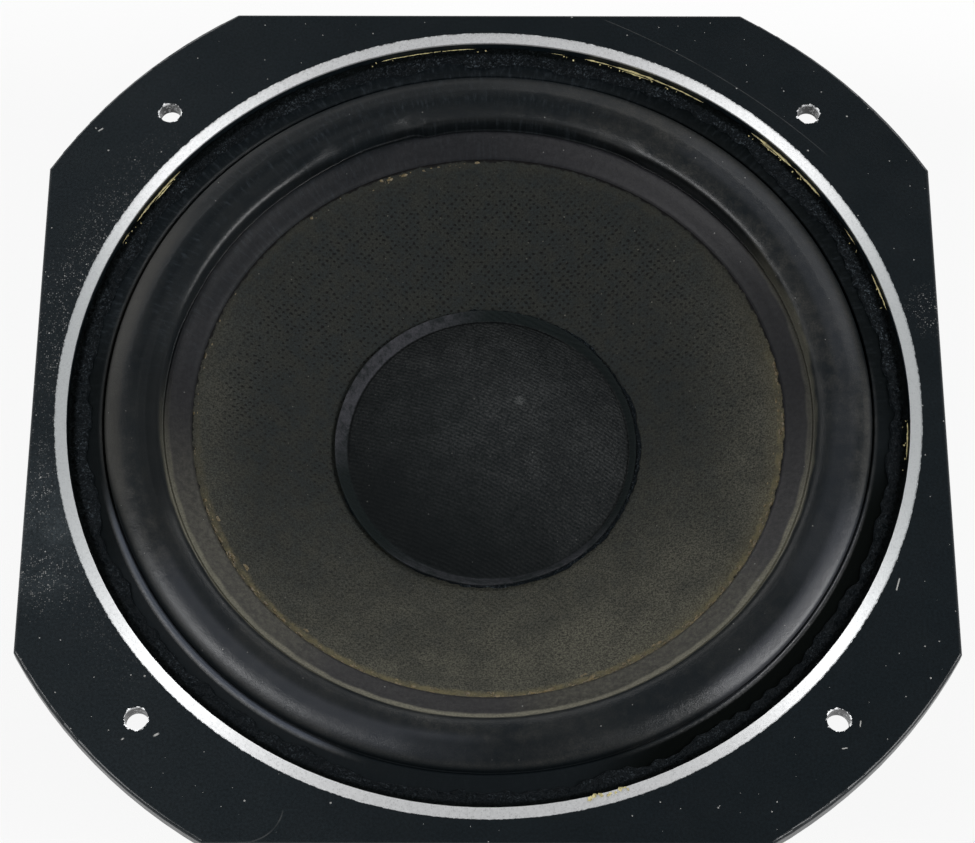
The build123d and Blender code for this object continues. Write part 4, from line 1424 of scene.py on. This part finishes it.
class DRIVER_OT_edge_glue(bpy.types.Operator):
    """Scatter crumbs of old brown glue on the cone along the surround's inner flange"""

    bl_idname = "driver.edge_glue"
    bl_label = "Edge glue"

    def execute(self, context):
        pattern = crumb_pattern()
        dice = Random(11)
        pieces = []

        # First and last bearing in degrees, and count of crumbs between them
        for first, last, count in (
            (200, 250, 90), (250, 290, 60), (288, 322, 120), (322, 350, 55), (350, 372, 40), (92, 130, 22),
            (150, 200, 22),
        ):
            for number in range(count):
                turn = radians(dice.uniform(first, last))
                radius = FLANGE_INNER_EDGE - 0.25 * MM - min(dice.expovariate(2.2), 2.4) * MM
                flat = Vector((cos(turn), sin(turn), 0.0))
                uphill = Vector((flat.x, flat.y, CONE_FALL)).normalized()
                up = Vector((-CONE_FALL * flat.x, -CONE_FALL * flat.y, 1.0)).normalized()
                place = flat * radius + Vector((0.0, 0.0, cone_height(radius)))
                reach = (0.09 + 0.36 * dice.random() ** 2) * MM
                sizes = (reach, reach * dice.uniform(1.0, 2.4), reach * dice.uniform(0.4, 0.7))
                pieces.append(crumb(pattern, place, uphill, up, sizes, turn * 31.0 + number))
        bpy.data.objects.remove(pattern)
        glue = join_as_mesh(pieces, "brown_edge_glue")
        material = old_glue_finish(context.scene.driver.glue.brown, "brown_glue")
        dress(glue, material, angle=60.0)
        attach(glue, MOVING_BODY)
        return {"FINISHED"}


class DRIVER_OT_motor(bpy.types.Operator):
    """Finish the magnet, the steel plates, the pole and the screws"""

    bl_idname = "driver.motor"
    bl_label = "Motor"

    def execute(self, context):
        settings = context.scene.driver.motor
        plating = plated_finish(settings.plating, "black_zinc_steel", rough=0.38)
        for name in ("back_plate", "top_plate", "pole_piece"):
            paint(name, plating)
        paint("magnet", ferrite_finish(settings.ferrite))
        paint("magnet_screws", plated_finish(settings.zinc, "zinc_screws", rough=0.3))
        return {"FINISHED"}


class DRIVER_OT_coil(bpy.types.Operator):
    """Finish the former, its paper collar and the winding"""

    bl_idname = "driver.coil"
    bl_label = "Voice coil"

    def execute(self, context):
        settings = context.scene.driver.motor
        paint("voice_coil_former", plated_finish(settings.foil, "former_foil", rough=0.32))
        paint("former_collar", fibre_finish(settings.paper, "kraft_collar", scale=1.2, rough=0.75))
        paint("voice_coil_winding", wound_finish(settings.copper))
        return {"FINISHED"}


class DRIVER_OT_terminals(bpy.types.Operator):
    """Finish the terminal board, its tags and rivets"""

    bl_idname = "driver.terminals"
    bl_label = "Terminals"

    def execute(self, context):
        settings = context.scene.driver.motor
        paint("terminal_board", fibre_finish(settings.board, "phenolic_board", scale=0.8, rough=0.45))
        tin = plated_finish(settings.tin, "tinned_brass", rough=0.3)
        for name in ("terminal_tag_positive", "terminal_tag_negative", "terminal_rivets"):
            paint(name, tin)
        return {"FINISHED"}


class DRIVER_OT_stage(bpy.types.Operator):
    """Set the floor, the soft lamps, the sky and the camera"""

    bl_idname = "driver.stage"
    bl_label = "Stage"

    def execute(self, context):
        settings = context.scene.driver.stage
        deselect()
        bpy.ops.mesh.primitive_plane_add(size=12.0, location=(0, 0, 0))
        floor = context.object
        floor.name = "pale_floor"
        floor.data.materials.append(self.floor_finish(settings.floor))
        lamps = (
            ("front_left_lamp", (-0.66, -0.24, 0.71), settings.left_power),
            ("front_right_lamp", (0.79, -0.24, 0.565), settings.right_power),
            ("rear_right_lamp", (0.47, 0.81, 0.345), settings.rear_power),
            ("rear_left_lamp", (-0.50, 0.81, 0.31), settings.rear_power),
        )
        for name, aim, power in lamps:
            self.lamp(name, Vector(aim).normalized(), power)
        self.sky(context.scene)
        self.camera(context.scene, settings)
        return {"FINISHED"}

    def floor_finish(self, colour):
        """Pale floor that reads as white to the eye and to metal, and keeps a shadow."""
        finish = Finish("pale_floor")
        rays = finish.add("LightPath").outputs
        seen = Field(finish, rays["Is Camera Ray"]) | rays["Is Glossy Ray"] | rays["Is Transmission Ray"]
        clouds = finish.mix(finish.noise(0.01, 2.0), colour, times(0.97, colour))
        glow = finish.add("Emission", (1.0, 1.0, 1.0), 1.0).outputs[0]
        return finish.finish(finish.over(seen * 0.8, finish.surface(clouds, 0.8), glow))

    def lamp(self, name, aim, power):
        """A soft square lamp that looks at the driver from a metre away."""
        bpy.ops.object.light_add(type="AREA", location=aim + Vector((0, 0, FRONT)))
        lamp = bpy.context.object
        lamp.name = name
        lamp.data.shape = "SQUARE"
        lamp.data.size = 0.34
        lamp.data.energy = power
        lamp.rotation_euler = aim.to_track_quat("Z", "Y").to_euler()

    def sky(self, scene):
        """Even studio light, paler towards the horizon."""
        world = bpy.data.worlds.new("studio")
        scene.world = world
        world.use_nodes = True
        tree = world.node_tree
        tree.nodes.clear()
        kinds = ("TexCoord", "SeparateXYZ", "MapRange", "Background", "OutputWorld")
        coordinates, split, height, glow, output = [tree.nodes.new("ShaderNode" + kind) for kind in kinds]
        height.interpolation_type = "SMOOTHSTEP"
        low, high, pale, dark = 0.22, 0.62, 0.8, 0.08
        for socket, value in zip(height.inputs[1:5], (low, high, pale, dark)):
            socket.default_value = value
        tree.links.new(coordinates.outputs["Generated"], split.inputs[0])
        tree.links.new(split.outputs["Z"], height.inputs["Value"])
        tree.links.new(height.outputs["Result"], glow.inputs["Color"])
        tree.links.new(glow.outputs["Background"], output.inputs["Surface"])

    def camera(self, scene, settings):
        """The photograph's view."""
        elevation, turn = settings.elevation, settings.turn
        back = Vector((sin(turn) * cos(elevation), -cos(turn) * cos(elevation), sin(elevation)))
        data = bpy.data.cameras.new("view")
        data.sensor_width = 36.0
        data.sensor_fit = "HORIZONTAL"
        data.lens = settings.lens
        camera = bpy.data.objects.new("view", data)
        scene.collection.objects.link(camera)
        camera.location = settings.place
        camera.rotation_euler = back.to_track_quat("Z", "Y").to_euler()
        camera.rotation_euler.rotate_axis("Z", settings.tilt)
        scene.camera = camera


class DRIVER_PT_pieces(bpy.types.Panel):
    """Lists the driver's pieces"""

    bl_idname = "DRIVER_PT_pieces"
    bl_label = "Bass driver"
    bl_space_type = "VIEW_3D"
    bl_region_type = "UI"
    bl_category = "Driver"

    def draw(self, context):
        for operator in OPERATORS:
            self.layout.operator(operator.bl_idname)


SETTINGS = (
    CastingSettings,
    SurroundSettings,
    ConeSettings,
    CapSettings,
    GlueSettings,
    MotorSettings,
    SuspensionSettings,
    StageSettings,
    DriverSettings,
)
OPERATORS = (
    DRIVER_OT_casting,
    DRIVER_OT_surround,
    DRIVER_OT_flange_adhesive,
    DRIVER_OT_cone,
    DRIVER_OT_dust_cap,
    DRIVER_OT_cap_adhesive,
    DRIVER_OT_spider,
    DRIVER_OT_leads,
    DRIVER_OT_wall_glue,
    DRIVER_OT_edge_glue,
    DRIVER_OT_motor,
    DRIVER_OT_coil,
    DRIVER_OT_terminals,
    DRIVER_OT_stage,
)
CLASSES = (*SETTINGS, *OPERATORS, DRIVER_PT_pieces)


def register():
    """Adds the classes and the scene's settings."""
    for kind in CLASSES:
        bpy.utils.register_class(kind)
    bpy.types.Scene.driver = bpy.props.PointerProperty(type=DriverSettings)


def unregister():
    """Takes them away again."""
    del bpy.types.Scene.driver
    for kind in reversed(CLASSES):
        bpy.utils.unregister_class(kind)


def main():
    """Makes every piece in order."""
    register()
    bpy.context.scene.view_settings.view_transform = "Standard"
    bpy.ops.driver.casting()
    bpy.ops.driver.surround()
    bpy.ops.driver.flange_adhesive()
    bpy.ops.driver.cone()
    bpy.ops.driver.dust_cap()
    bpy.ops.driver.cap_adhesive()
    bpy.ops.driver.spider()
    bpy.ops.driver.leads()
    bpy.ops.driver.wall_glue()
    bpy.ops.driver.edge_glue()
    bpy.ops.driver.motor()
    bpy.ops.driver.coil()
    bpy.ops.driver.terminals()
    bpy.ops.driver.stage()


if __name__ == "__main__":
    main()
